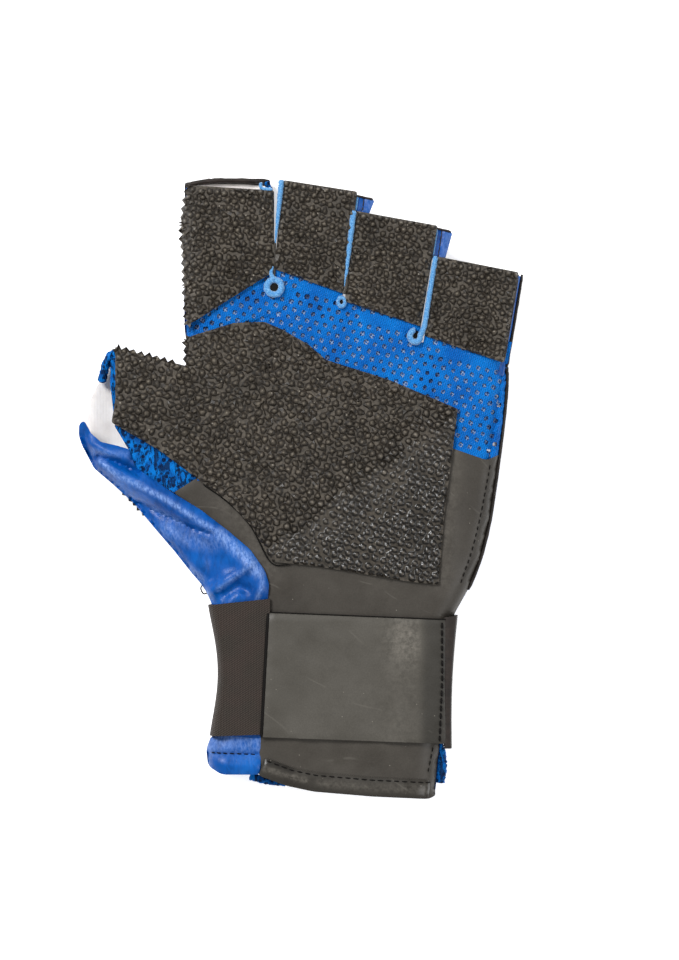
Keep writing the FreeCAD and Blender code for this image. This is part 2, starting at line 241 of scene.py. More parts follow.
def waves(points, scale, seed):
    """Smooth bumps from a few sums of sines, about -1 to 1, for folds and slack."""
    random = np.random.default_rng(seed)
    total = np.zeros(len(points))
    for _ in range(7):
        angle = random.uniform(0, 2 * math.pi)
        length = scale * random.uniform(0.6, 1.7)
        phase = random.uniform(0, 2 * math.pi)
        along = points[:, 0] * math.cos(angle) + points[:, 1] * math.sin(angle)
        total += np.sin(2 * math.pi * along / length + phase)
    return total / 4.5


# ------------------------------------------------------------------ places that several pieces use
def joint(name):
    """A joint's point in mm and its axis."""
    found = [j for j in frame["joints"] if j["name"] == name][0]
    return np.array(found["pos_m"]) / MM, np.array(found["axis"], float)


class Stall:
    """A finger's own frame: x across it and y along it from its bend line, in mm."""

    def __init__(self, name):
        point, axis = joint(name + "_curl")
        self.name = name
        self.body = name + "_finger"
        self.origin = point[:2]
        self.across = axis[:2] / norm(axis[:2])
        self.along = np.array([-self.across[1], self.across[0]])
        wall = self.local(corners(name + "_ulnar_fourchette"))
        other = self.local(corners(name + "_radial_fourchette"))
        self.half = wall[:, 0].max()
        self.length = max(wall[:, 1].max(), other[:, 1].max())
        self.reach = self.local(corners(name + "_back"))[:, 1].max()

    def local(self, points):
        """Plan points in this finger's frame."""
        moved = np.asarray(points) - self.origin
        return np.stack([moved @ self.across, moved @ self.along], axis=1)

    def world(self, points):
        """Points of this finger's frame back in the plan."""
        points = np.asarray(points)
        return self.origin + points[:, :1] * self.across + points[:, 1:2] * self.along


STALLS = {name: Stall(name) for name in FINGERS}
THUMB_POINT, THUMB_AXIS = joint("thumb_fold")
THUMB_OUT = np.array([-THUMB_AXIS[1], THUMB_AXIS[0]]) / norm(THUMB_AXIS[:2])

RIGHT_EDGE = np.vstack([outer_path("cuff_ulnar_side"), outer_path("ulnar_side")])
RIGHT_EDGE = RIGHT_EDGE[np.argsort(RIGHT_EDGE[:, 1])]
CROTCH_EDGE = outer_path("radial_side")
WEB_EDGE = outer_path("thumb_web_side")
LEFT_EDGE = np.vstack([outer_path("thumb_outer_side"), outer_path("cuff_radial_side")])
LEFT_EDGE = LEFT_EDGE[np.argsort(-LEFT_EDGE[:, 1])]
EDGES = (RIGHT_EDGE, CROTCH_EDGE, WEB_EDGE, LEFT_EDGE)


def edge_distance(points):
    """How far each point of the hand and thumb is from the nearest closed edge."""
    return np.min([distance(points, edge) for edge in EDGES], axis=0)


def palm_height(points):
    """Outer face of the palm-side cloth over hand, thumb and cuff."""
    slack = 0.22 * waves(points, 34.0, 3)
    return SEAM + (PALM - SEAM + slack) * dome(edge_distance(points), EDGE_REACH)


def back_height(points):
    """Outer face of the cloth on the back."""
    low = BACK + WRIST_RISE * smooth_step(-points[:, 1], *WRIST)
    return SEAM - (SEAM - low) * dome(edge_distance(points), EDGE_REACH)


# ------------------------------------------------------------------ mesh makers
def make(name, points, faces, material, smooth=True, sharp=40.0, **values):
    """A mesh object from points in mm. values are numbers stored per point for the material."""
    mesh = bpy.data.meshes.new(name)
    mesh.from_pydata((np.asarray(points) * MM).tolist(), [], [list(map(int, f)) for f in faces])
    mesh.polygons.foreach_set("use_smooth", [smooth] * len(mesh.polygons))
    place = mesh.attributes.new("place", "FLOAT_VECTOR", "POINT")
    place.data.foreach_set("vector", np.asarray(points, np.float32).ravel())
    for key, numbers in values.items():
        layer = mesh.attributes.new(key, "FLOAT", "POINT")
        layer.data.foreach_set("value", np.asarray(numbers, np.float32))
    mesh.validate()
    mesh.update()
    if smooth:
        mesh.set_sharp_from_angle(angle=math.radians(sharp))
    mesh.materials.append(material)
    thing = bpy.data.objects.new(name, mesh)
    bpy.context.scene.collection.objects.link(thing)
    return thing


def ring_edges(count, start=0):
    """Edges that join numbered points in a ring."""
    return [(start + i, start + (i + 1) % count) for i in range(count)]


def filled(points, edges):
    """Triangles over plan points that keep the edges: all points, faces, and each point's origin."""
    made = geometry.delaunay_2d_cdt([Vector(p) for p in points], edges, [], 0, 1e-6)
    faces = np.array([face for face in made[2] if len(face) == 3])
    return np.array([list(p) for p in made[0]]), faces, [ids[0] if ids else 0 for ids in made[3]]


def gap_to(centres, points):
    """How far each point is from the nearest centre."""
    return np.array([norm(centres - p, axis=1).min() for p in points])


def triangulated(loop, step, holes):
    """Plan points and triangles that fill a loop, leaving out the holes."""
    rim = resampled(loop, step)
    low, high = rim.min(0), rim.max(0)
    rows = np.arange(low[1], high[1], step * 0.87)
    grid = np.array([[x + (0.5 * step if row % 2 else 0.0), y]
                     for row, y in enumerate(rows) for x in np.arange(low[0], high[0], step)])
    grid = grid[inside(grid, loop)]
    grid = grid[distance(grid, closed(rim)) > 0.5 * step]
    if len(holes):
        centres = np.array([hole.mean(0) for hole in holes])
        radii = norm(holes[0] - centres[0], axis=1)
        grid = grid[gap_to(centres, grid) > radii.max() + 0.25 * step]
    edges = ring_edges(len(rim))
    start = len(rim) + len(grid)
    for hole in holes:
        edges += ring_edges(len(hole), start)
        start += len(hole)
    flat, faces, _ = filled(np.vstack([rim, grid, *holes]), edges)
    if len(holes):
        faces = faces[gap_to(centres, flat[faces].mean(axis=1)) > radii.min() * 0.93]
    return flat, wound(flat, faces, loop)


def closed_sheet(flat, faces, outer, inner, bevel):
    """Points and faces of a thin closed sheet between two height functions.

    outer is the visible side. bevel rounds the outer rim towards the inner side."""
    used = np.unique(faces)
    remap = -np.ones(len(flat), int)
    remap[used] = np.arange(len(used))
    flat, faces = flat[used], remap[faces]
    seen = {(a, b): True for face in faces for a, b in zip(face, np.roll(face, -1))}
    rim = [(a, b) for a, b in seen if (b, a) not in seen]
    high, low = outer(flat).copy(), inner(flat)
    on_rim = np.unique(np.array(rim))
    high[on_rim] += np.sign(low[on_rim] - high[on_rim]) * bevel
    count = len(flat)
    points = np.vstack([np.column_stack([flat, high]), np.column_stack([flat, low])])
    up = high.mean() > low.mean()
    upper = faces if up else faces[:, ::-1]
    lower = faces[:, ::-1] if up else faces
    quads = [(b, a, a + count, b + count) if up else (a, b, b + count, a + count) for a, b in rim]
    shell = [tuple(f) for f in upper] + [tuple(f + count) for f in lower] + quads
    return points, shell


def panel(name, loop, height, thickness, material, step=1.6, holes=(), bevel=0.25, wear_and_light=None):
    """A sewn panel: it fills a loop, follows a height function and has a thickness inwards.

    The last argument is a function of the plan that the material reads as its relief: real scuffs
    on some pieces, painted highlights and painted shade on others."""
    flat, faces = triangulated(loop, step, holes)
    points, shell = closed_sheet(flat, faces, height, lambda p: height(p) - thickness, bevel)
    values = {"relief": wear_and_light(points[:, :2])} if wear_and_light else {}
    return make(name, points, shell, material, **values)


STUD_SIDES = 6
STUD_HEIGHT = 1.3      # rise at which a stud's tip takes its full painted highlight
POINTED = (1.05, 1.6)  # how tall pointed studs stand
DOMED = 1.05           # and studs worn to domes
RIM_STEP = 1.35        # from point to point along a cut edge
TOOTH_REACH = 2.0      # how near a ragged path an edge has teeth
UNDERSIDE = 0.3        # relief given to a studded sheet's inner side, which shows as the darkest rubber
STUD_RINGS = ((0.47, 0.0, 0.0), (0.27, 0.5, 0.82))  # reach in pitches, and rise when pointed and domed


def wound(flat, faces, loop):
    """The triangles inside a loop that have some area, all turned the same way."""
    faces = faces[inside(flat[faces].mean(axis=1), loop)]
    one, two, three = (flat[faces[:, k]] for k in range(3))
    area = (two[:, 0] - one[:, 0]) * (three[:, 1] - one[:, 1]) \
        - (two[:, 1] - one[:, 1]) * (three[:, 0] - one[:, 0])
    faces = np.where((area < 0)[:, None], faces[:, ::-1], faces)
    return faces[np.abs(area) > 1e-5]


def lattice(loop, spacing, angle):
    """Points in staggered rows over a loop, the rows bent a little out of true."""
    count = int(norm(loop.max(0) - loop.min(0)) / 2 / spacing / 0.866) + 4
    column, row = np.meshgrid(np.arange(-count, count + 1), np.arange(-count, count + 1))
    places = np.column_stack([(column + 0.5 * (row % 2)).ravel(), 0.866 * row.ravel()]) * spacing
    places = places @ spin(angle) + (loop.max(0) + loop.min(0)) / 2
    return places + 0.5 * np.column_stack([waves(places, 17.0, 51), waves(places, 17.0, 52)])


def outward(rim):
    """Directions that point out of a loop at each of its points."""
    run = np.roll(rim, -1, axis=0) - np.roll(rim, 1, axis=0)
    x, y = rim[:, 0], rim[:, 1]
    winding = np.sign(np.sum(x * np.roll(y, -1) - np.roll(x, -1) * y))
    return winding * np.stack([run[:, 1], -run[:, 0]], axis=1) / norm(run, axis=1)[:, None]


def toothed(rim, paths):
    """The rim with pointed teeth along the paths, where studs overhang the cut, and their rise."""
    rise = np.zeros(len(rim))
    count = len(rim)
    for path in paths:
        near = distance(rim, np.asarray(path, float)) < TOOTH_REACH
        tooth = near & (np.arange(count) % 2 == 0)
        push = np.where(tooth, rng.uniform(0.55, 1.25, count), rng.uniform(-0.4, 0.0, count))
        rim = rim + outward(rim) * (push * near)[:, None]
        rise = np.where(near, rng.uniform(0.45, 1.1, count), rise)
    return rim, rise


def studded(name, loop, height, pitch, angle, sign=1, ragged=(), rounder=None):
    """A closed sheet of rubber whose outer face is set with studs.

    Its edge is cut clean, except along the ragged paths. rounder gives how far each point's
    studs are worn from pointed to smooth domes, 0 to 1."""
    rim, rim_rise = toothed(resampled(loop, RIM_STEP), ragged)
    places = lattice(loop, pitch, angle)
    places = places[inside(places, rim) | (distance(places, closed(rim)) < 0.4 * pitch)]
    count = len(places)
    worn = rounder(places) if rounder else np.zeros(count)
    places = places + rng.uniform(-STUD_JITTER, STUD_JITTER, places.shape) * (1 - 0.6 * worn)[:, None]
    tall = rng.uniform(*POINTED, count) * (1 - worn) + DOMED * worn
    turn = rng.uniform(0, math.pi, count)
    size = rng.uniform(0.88, 1.1, count)
    layers = [np.column_stack([places + rng.uniform(-0.12, 0.12, places.shape), tall, worn])]
    for reach, pointed, domed in STUD_RINGS:
        for k in range(STUD_SIDES):
            bend = turn + 2 * math.pi * k / STUD_SIDES + rng.uniform(-0.25, 0.25, count) * (1 - worn)
            wide = reach * pitch * size * (1 + rng.uniform(-0.16, 0.16, count) * (1 - worn))
            spot = places + wide[:, None] * np.column_stack([np.cos(bend), np.sin(bend)])
            rise = tall * (pointed * (1 - worn) + domed * worn)
            layers.append(np.column_stack([spot, rise, worn]))
    studs = np.vstack(layers)
    studs = studs[inside(studs[:, :2], rim)]
    studs = studs[distance(studs[:, :2], closed(rim)) > 0.25]

    flat = np.vstack([rim, studs[:, :2]])
    rise = np.concatenate([rim_rise, studs[:, 2]])
    worn = np.concatenate([np.zeros(len(rim)), studs[:, 3]])
    flat, faces, origin = filled(flat, ring_edges(len(rim)))
    rise, worn = rise[origin], worn[origin]
    faces = wound(flat, faces, rim)
    used = np.unique(faces)
    points, shell = closed_sheet(flat, faces, lambda p: height(p) + sign * rise[used],
                                 lambda p: height(p) - sign * RUBBER, 0.0)
    rise = np.concatenate([rise[used], np.full(len(used), UNDERSIDE)])
    worn = np.concatenate([worn[used], np.zeros(len(used))])
    thing = make(name, points, shell, PIMPLES, smooth=False,
                 relief=np.clip(rise / STUD_HEIGHT, 0, 1), domed=worn)
    for polygon in thing.data.polygons:
        domes = all(worn[i] > 0.45 for i in polygon.vertices)
        polygon.use_smooth = domes and any(rise[i] > 0.1 for i in polygon.vertices)
    return thing


def ring_faces(rings, around, endless=False, base=0):
    """Faces through equal rings of points, joined end to end if endless and else capped."""
    faces = []
    for r in range(rings if endless else rings - 1):
        here, there = base + r * around, base + (r + 1) % rings * around
        for k in range(around):
            n = (k + 1) % around
            faces.append((here + k, here + n, there + n, there + k))
    if not endless:
        last = base + (rings - 1) * around
        faces.append(tuple(base + k for k in reversed(range(around))))
        faces.append(tuple(last + k for k in range(around)))
    return faces


def lofted(name, rings, material, sharp, endless=False):
    """A closed surface through equal rings of points."""
    faces = ring_faces(len(rings), len(rings[0]), endless)
    return make(name, np.vstack(rings), faces, material, sharp=sharp)


def piped(name, path, radius, material, flat=1.0, sides=10, fuzz=0.0):
    """A round or flattened cord along a path of x, y, z points, with tapered closed ends.

    radius is one number, or one for each point."""
    path = np.asarray(path, float)
    rings = []
    count = len(path)
    radius = np.broadcast_to(radius, count)
    for i, point in enumerate(path):
        run = path[min(i + 1, count - 1)] - path[max(i - 1, 0)]
        run /= norm(run)
        side = np.cross([0, 0, 1.0], run)
        if norm(side) < 1e-6:
            side = np.array([1.0, 0, 0])
        side /= norm(side)
        up = np.cross(run, side)
        end = min(i, count - 1 - i)
        size = radius[i] * (1.0 if end > 0 else 0.55)
        ring = []
        for k in range(sides):
            angle = 2 * math.pi * k / sides
            reach = size * (1 + rng.uniform(-fuzz, fuzz))
            ring.append(point + side * math.cos(angle) * reach + up * math.sin(angle) * reach * flat)
        rings.append(np.array(ring))
    return lofted(name, rings, material, sharp=60)


def rope_ring(name, centre, radius, wire, squeeze):
    """A closed ring of fuzzy tape, flattened, about a centre."""
    turns, sides, fuzz, flatness = 40, 10, 0.12, 0.8
    rings = []
    for i in range(turns):
        a = 2 * math.pi * i / turns
        out = np.array([math.cos(a) * squeeze, math.sin(a), 0])
        ring = []
        for k in range(sides):
            b = 2 * math.pi * k / sides
            reach = wire * (1 + rng.uniform(-fuzz, fuzz))
            ring.append(np.asarray(centre) + out * (radius + reach * math.cos(b))
                        + np.array([0, 0, reach * flatness * math.sin(b)]))
        rings.append(np.array(ring))
    return lofted(name, rings, BINDING, sharp=70, endless=True)


def stitched(name, runs, length, pitch, width):
    """Rows of thread stitches on the surface. Each run is a path of x, y, z points."""
    points, faces = [], []
    sides, lobes, sink = 6, 5, 0.05
    for path in runs:
        path = np.asarray(path, float)
        steps = norm(np.diff(path, axis=0), axis=1)
        places = np.concatenate([[0], np.cumsum(steps)])
        total = places[-1]
        for s in np.arange(pitch / 2, total, pitch):
            here, ahead, behind = (np.array([np.interp(at, places, path[:, k]) for k in range(3)])
                                   for at in (s, min(s + 0.5, total), max(s - 0.5, 0)))
            run = ahead - behind
            run /= norm(run)
            side = np.cross([0, 0, 1.0], run)
            side /= norm(side)
            up = np.cross(run, side)
            base = len(points)
            half = length * rng.uniform(0.9, 1.06) / 2
            for i in range(lobes):
                t = -1 + 2 * i / (lobes - 1)
                body = width / 2 * math.sqrt(max(1 - (0.86 * t) ** 2, 0.05))
                lift = -sink + width * 0.45 * (1 - t * t)
                for k in range(sides):
                    a = 2 * math.pi * k / sides
                    points.append(here + run * half * t + side * body * math.cos(a)
                                  + up * (lift + body * math.sin(a)))
            faces += ring_faces(lobes, sides, base=base)
    return make(name, points, faces, THREAD, sharp=80)


# ------------------------------------------------------------------ materials
def srgb(red, green, blue):
    """A linear colour from 0-255 screen values."""
    linear = [(v / 255 / 12.92) if v <= 10 else ((v / 255 + 0.055) / 1.055) ** 2.4
              for v in (red, green, blue)]
    return (*linear, 1.0)


class Finish:
    """A material: a Principled shader and the nodes that vary it over the surface.

    Patterns are laid out in millimetres of the flat glove, so they stay with a piece that bends."""

    def __init__(self, name, roughness=0.6, specular=0.5, **inputs):
        self.made = bpy.data.materials.new(name)
        self.made.use_nodes = True
        self.tree = self.made.node_tree
        self.shader = self.tree.nodes["Principled BSDF"]
        self.shader.inputs["Roughness"].default_value = roughness
        self.shader.inputs["Specular IOR Level"].default_value = specular
        for key, value in inputs.items():
            self.shader.inputs[key.replace("_", " ")].default_value = value
        self.spot = self.node("Attribute", attribute_name="place").outputs["Vector"]

    def node(self, kind, inputs=None, **settings):
        """A shader node. An input is given as a number or as another node's output."""
        made = self.tree.nodes.new("ShaderNode" + kind)
        for key, value in settings.items():
            setattr(made, key, value)
        for key, value in (inputs or {}).items():
            if isinstance(value, bpy.types.NodeSocket):
                self.tree.links.new(value, made.inputs[key])
            else:
                made.inputs[key].default_value = value
        return made

    def stored(self, key):
        """A number that the mesh stores for each point."""
        return self.node("Attribute", attribute_name=key).outputs["Fac"]

    def turned(self, angle, scale=(1, 1, 1)):
        """The pattern space turned about the vertical and stretched."""
        return self.node("Mapping", {"Vector": self.spot, "Scale": scale,
                                     "Rotation": (0, 0, math.radians(angle))}).outputs[0]

    def noise(self, size, detail=3.0, roughness=0.5, space=None, distortion=0.0):
        """Cloudy variation with features of about this size in mm."""
        return self.node("TexNoise", {"Vector": space or self.spot, "Scale": 1 / size, "Detail": detail,
                                      "Roughness": roughness, "Distortion": distortion}).outputs["Fac"]

    def cells(self, size):
        """Distance in a field of cells of about this size in mm."""
        return self.node("TexVoronoi", {"Vector": self.spot, "Scale": 1 / size}).outputs["Distance"]

    def bands(self, pitch, angle, distortion=0.0, kind="BANDS"):
        """Soft stripes with this pitch in mm."""
        return self.node("TexWave", {"Vector": self.turned(angle), "Scale": 0.314 / pitch,
                                     "Distortion": distortion}, wave_type=kind).outputs["Fac"]

    def ramp(self, value, *stops):
        """A colour ramp. Each stop is a position and a screen colour or a linear grey level."""
        made = self.node("ValToRGB", {"Fac": value})
        ends = made.color_ramp.elements
        while len(ends) < len(stops):
            ends.new(0.5)
        for end, (position, colour) in zip(ends, stops):
            end.position = position
            end.color = srgb(*colour) if isinstance(colour, tuple) else (colour, colour, colour, 1)
        return made.outputs["Color"]

    def mixed(self, share, low, high, how="MIX"):
        """Two colours or values mixed by a share."""
        made = self.node("MixRGB", {"Fac": share, "Color1": low, "Color2": high}, blend_type=how)
        return made.outputs["Color"]

    def product(self, one, two):
        """Two colours or values multiplied."""
        return self.mixed(1.0, one, two, "MULTIPLY")

    def negative(self, value):
        return self.node("Math", {0: value, 1: -1.0}, operation="MULTIPLY").outputs[0]

    def colour(self, socket):
        self.tree.links.new(socket, self.shader.inputs["Base Color"])

    def rough(self, socket):
        self.tree.links.new(socket, self.shader.inputs["Roughness"])

    def bump(self, *layers):
        """Bumps in the surface. Each layer is a height socket, its depth in mm and its strength."""
        normal = None
        for socket, depth, strength in layers:
            inputs = {"Height": socket, "Distance": depth * MM, "Strength": strength}
            if normal is not None:
                inputs["Normal"] = normal
            normal = self.node("Bump", inputs).outputs["Normal"]
        self.tree.links.new(normal, self.shader.inputs["Normal"])


def studded_rubber():
    """Dull brown-black rubber coloured by the studs' relief: paler ground, painted shade on the stud sides,
    a painted highlight on the tips, and sparse painted glints.
    """
    it = Finish("pimple_rubber", specular=0.38)
    # painted light on pointed studs: dark painted shade down the flanks, a pale painted highlight at the
    # tips
    points = it.ramp(it.stored("relief"), (0.0, (70, 64, 56)), (0.1, (44, 39, 33)), (0.3, (32, 27, 22)),
                     (0.6, (66, 60, 52)), (1.0, (112, 105, 94)))
    # painted light on worn domes: painted shade round the flanks and a small painted highlight at the top
    domes = it.ramp(it.stored("relief"), (0.0, (62, 57, 50)), (0.1, (38, 34, 29)), (0.3, (12, 10, 8)),
                    (0.66, (22, 19, 16)), (0.81, (90, 84, 76)))
    domed = it.stored("domed")
    rubbed = it.ramp(it.noise(7.0, 3.0), (0.35, 0.74), (0.7, 1.2))
    rough_cut = it.ramp(it.noise(1.0, 3.0, 0.6), (0.38, 0.62), (0.62, 1.3))
    rubber = it.product(it.mixed(domed, points, domes), it.product(rubbed, rough_cut))
    # sparse painted glints
    glint = it.ramp(it.cells(4.2), (0.05, 0.7), (0.09, 0.0))
    it.colour(it.mixed(glint, rubber, srgb(150, 143, 132)))
    dull = it.ramp(it.noise(1.2), (0.3, 0.34), (0.7, 0.66))
    it.rough(it.mixed(domed, dull, it.ramp(it.noise(3.0), (0.3, 0.24), (0.7, 0.38))))
    it.bump((it.noise(0.35, 4.0), 0.04, 0.4))
    return it.made


def smooth_rubber(name, dark, pale, gloss=(0.4, 0.56)):
    """Satin rubber with clouding, dust and fine scratches. Positive relief makes it pale, for real scuffs
    and for painted highlights; negative relief darkens it with painted shade."""
    it = Finish(name, specular=0.3)
    cloud = it.noise(24.0, 4.0, 0.6)
    base = it.ramp(cloud, (0.3, dark), (0.7, pale))
    grain = it.ramp(it.noise(0.5, 2.0), (0.3, 0.88), (0.7, 1.08))
    base = it.product(base, grain)
    # pale where the relief is positive: real scuffs and painted highlights
    scuffs_and_highlights = it.ramp(it.stored("relief"), (0.0, 0.0), (1.0, 1.0))
    mottle = it.ramp(it.noise(1.8, 5.0, 0.75), (0.38, 0.05), (0.66, 0.7))
    base = it.mixed(it.product(scuffs_and_highlights, mottle), base, srgb(118, 113, 105))
    # painted shade where the relief is negative
    shaded = it.ramp(it.negative(it.stored("relief")), (0.0, 1.0), (1.0, 0.42))
    base = it.product(base, shaded)
    scratch = it.ramp(it.bands(17.0, 30.0, 7.0, "RINGS"), (0.9988, 0.0), (0.99995, 1.0))
    broken = it.ramp(it.noise(7.0, 2.0), (0.5, 0.0), (0.62, 0.2))
    base = it.mixed(it.product(scratch, broken), base, srgb(110, 106, 99))
    dust = it.ramp(it.cells(4.0), (0.03, 0.5), (0.055, 0.0))
    it.colour(it.mixed(dust, base, srgb(140, 134, 124)))
    it.rough(it.ramp(it.noise(6.0, 4.0), (0.3, gloss[0]), (0.75, gloss[1])))
    it.bump((it.noise(0.6, 3.0), 0.04, 0.35), (cloud, 0.5, 0.35))
    return it.made


def mesh_yarn():
    """Bright blue knitted yarn of the spacer mesh."""
    it = Finish("blue_mesh", roughness=0.75, specular=0.12)
    cloud = it.noise(9.0, 4.0)
    base = it.ramp(cloud, (0.3, (0, 84, 168)), (0.7, (0, 112, 198)))
    twist = it.bands(0.62, -14.0, 1.6)
    ribs = it.ramp(twist, (0.1, 0.7), (0.6, 1.08))
    fibre = it.ramp(it.noise(0.5, 3.0), (0.62, 0.0), (0.78, 0.45))
    cloth = it.product(base, ribs)
    it.colour(it.mixed(fibre, cloth, srgb(110, 178, 240)))
    it.bump((twist, 0.16, 0.9), (it.bands(0.8, 58.0, 2.5), 0.12, 0.6))
    return it.made


def crumpled_mesh():
    """The same mesh where it is bunched up: navy holes, and painted shade in its creases, between bright
    yarn.
    """
    it = Finish("crumpled_mesh", roughness=0.75, specular=0.12)
    base = it.ramp(it.noise(3.0, 4.0), (0.32, (0, 70, 142)), (0.66, (0, 116, 202)))
    holes = it.ramp(it.cells(2.1), (0.22, 1.0), (0.4, 0.0))
    folds = it.noise(2.0, 2.0, 0.5, it.turned(40.0, (1.0, 0.4, 1.0)), 1.4)
    crease_shade = it.ramp(folds, (0.4, 0.9), (0.5, 0.0))
    # holes and painted crease shade, mixed towards dark navy
    dark = it.mixed(1.0, holes, crease_shade, "LIGHTEN")
    it.colour(it.mixed(dark, base, srgb(3, 24, 58)))
    it.bump((dark, -0.5, 0.9), (it.bands(0.62, -14.0, 1.6), 0.16, 0.9))
    return it.made


def mesh_core():
    """The deep layer seen through the mesh's holes: navy with pale crossed yarns."""
    it = Finish("mesh_core", roughness=0.8, specular=0.2)
    one = it.ramp(it.bands(0.95, 36.0, 1.0), (0.6, 0.0), (0.85, 1.0))
    two = it.ramp(it.bands(0.95, -52.0, 1.0), (0.6, 0.0), (0.85, 1.0))
    lines = it.mixed(1.0, one, two, "LIGHTEN")
    near = it.noise(15.0, 2.0)
    shown = it.product(lines, it.ramp(near, (0.38, 0.15), (0.52, 0.8)))
    deep = it.ramp(near, (0.38, (3, 34, 80)), (0.55, (24, 82, 150)))
    it.colour(it.mixed(shown, deep, srgb(150, 172, 198)))
    it.bump((lines, 0.2, 0.8))
    return it.made


def blue_leather():
    """Soft azure leather: fine grain, short cross wrinkles, and a painted lavender highlight along its
    crests.
    """
    it = Finish("blue_leather", specular=0.24)
    cloud = it.noise(11.0, 4.0)
    base = it.ramp(cloud, (0.3, (0, 62, 134)), (0.6, (0, 78, 156)), (0.85, (14, 92, 172)))
    wrinkles = it.noise(1.7, 4.0, 0.6, it.turned(48.0, (1.0, 0.3, 1.0)), 0.6)
    shade = it.ramp(wrinkles, (0.36, 0.78), (0.5, 1.0), (0.66, 1.1))
    base = it.product(base, shade)
    grain = it.cells(0.5)
    streaks = it.ramp(it.noise(0.8, 4.0, 0.7, it.turned(48.0, (1.0, 0.45, 1.0))), (0.36, 0.12), (0.64, 1.0))
    # painted highlight along the crests, broken into streaks
    crest_highlight = it.product(it.ramp(it.stored("relief"), (0.05, 0.0), (1.0, 0.85)), streaks)
    it.colour(it.mixed(crest_highlight, base, srgb(136, 168, 226)))
    it.rough(it.ramp(it.noise(2.0, 4.0), (0.3, 0.3), (0.7, 0.48)))
    it.bump((grain, 0.06, 0.5), (wrinkles, 0.3, 0.5), (it.noise(5.0), 0.5, 0.35))
    return it.made


def white_lining():
    """Warm white brushed knit."""
    it = Finish("white_lining", roughness=0.85, specular=0.2, Sheen_Weight=0.3)
    it.colour(it.ramp(it.noise(6.0, 4.0), (0.3, (222, 216, 212)), (0.7, (244, 241, 239))))
    it.bump((it.bands(0.5, 0.0, 1.0), 0.06, 0.5), (it.noise(4.0, 3.0), 0.5, 0.35))
    return it.made


def light_binding():
    """Light blue fuzzy binding tape."""
    it = Finish("light_blue_binding", roughness=0.75, specular=0.25, Sheen_Weight=0.5)
    fibre = it.noise(0.45, 4.0, 0.7)
    it.colour(it.ramp(fibre, (0.28, (34, 94, 158)), (0.5, (76, 142, 198)), (0.7, (142, 188, 222))))
    it.bump((fibre, 0.25, 0.9))
    return it.made


def woven_elastic():
    """Brown-black elastic with a fine twill rib."""
    it = Finish("black_elastic", roughness=0.74, specular=0.22)
    twill = it.bands(0.62, 58.0, 0.8)
    ribs = it.bands(0.9, 0.0, 0.6)
    cloth = it.mixed(0.3, twill, ribs)
    shade = it.ramp(cloth, (0.2, (38, 32, 29)), (0.8, (62, 55, 50)))
    warm = it.ramp(it.noise(8.0, 3.0), (0.35, (236, 240, 234)), (0.65, (255, 246, 242)))
    it.colour(it.product(shade, warm))
    it.bump((twill, 0.14, 0.8), (ribs, 0.08, 0.4))
    return it.made


def brown_binding():
    """Dark brown folded edge tape."""
    it = Finish("brown_binding", roughness=0.6, specular=0.3)
    it.colour(it.ramp(it.noise(3.0, 4.0), (0.3, (22, 17, 14)), (0.7, (42, 34, 29))))
    it.bump((it.noise(0.7, 3.0), 0.15, 0.6))
    return it.made


def thread():
    """Black twisted sewing thread."""
    it = Finish("black_thread", roughness=0.7, specular=0.12)
    twist = it.bands(0.45, 35.0, 0.4)
    it.colour(it.ramp(twist, (0.3, (6, 5, 5)), (0.7, (22, 20, 18))))
    it.bump((twist, 0.06, 0.6))
    return it.made


def loop_pile():
    """Black looped pile that the hooks grip."""
    it = Finish("loop_pile", roughness=0.95, specular=0.1, Sheen_Weight=0.4)
    loops = it.cells(0.7)
    it.colour(it.ramp(loops, (0.1, (62, 60, 60)), (0.7, (14, 13, 13))))
    it.bump((loops, 0.5, 1.0), (it.noise(3.0), 0.4, 0.5))
    return it.made


def hook_tape():
    """Black nylon hook tape in close rows."""
    it = Finish("hook_tape", roughness=0.42, specular=0.5)
    rows = it.bands(1.1, 0.0)
    pins = it.bands(1.1, 90.0)
    both = it.product(rows, pins)
    it.colour(it.ramp(both, (0.1, (10, 10, 10)), (0.8, (58, 57, 56))))
    it.bump((both, 0.5, 1.0))
    return it.made


PIMPLES = studded_rubber()
HEEL = smooth_rubber("heel_rubber", (48, 44, 39), (64, 60, 54))
STRAP = smooth_rubber("strap_rubber", (64, 61, 55), (77, 74, 68))
HEM = smooth_rubber("hem_rubber", (38, 35, 31), (60, 57, 52), gloss=(0.24, 0.4))
MESH = mesh_yarn()
CRUMPLED = crumpled_mesh()
CORE = mesh_core()
LEATHER = blue_leather()
LINING = white_lining()
BINDING = light_binding()
ELASTIC = woven_elastic()
BROWN = brown_binding()
THREAD = thread()
PILE = loop_pile()
HOOKS = hook_tape()


def on_hand(thing, *nodes):
    """A piece that stays with the hand, and the CAD nodes that it stands for."""
    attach(thing, "hand")
    if nodes:
        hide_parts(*nodes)


def bends(thing, nodes, body, origin, along):
    """A piece with its transform baked into its mesh and the CAD nodes that it stands for hidden; body,
    origin and along are not used.
    """
    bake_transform(thing)
    if nodes:
        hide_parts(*nodes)


def bends_thumb(thing, *nodes):
    """A piece of hand and thumb, with its transform baked and its CAD nodes hidden."""
    bends(thing, nodes, "thumb", THUMB_POINT[:2], THUMB_OUT)


def bends_finger(thing, stall, *nodes):
    """A piece of hand and a finger, with its transform baked and its CAD nodes hidden."""
    bends(thing, nodes, stall.body, stall.origin, stall.along)


def span(node):
    """A CAD node's lowest and highest corners in mm."""
    low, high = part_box(node)
    return np.array(low) / MM, np.array(high) / MM


# ------------------------------------------------------------------ studded rubber
GRIP_LIFT = 1.0        # the studded rubber's base above the cloth it is sewn to


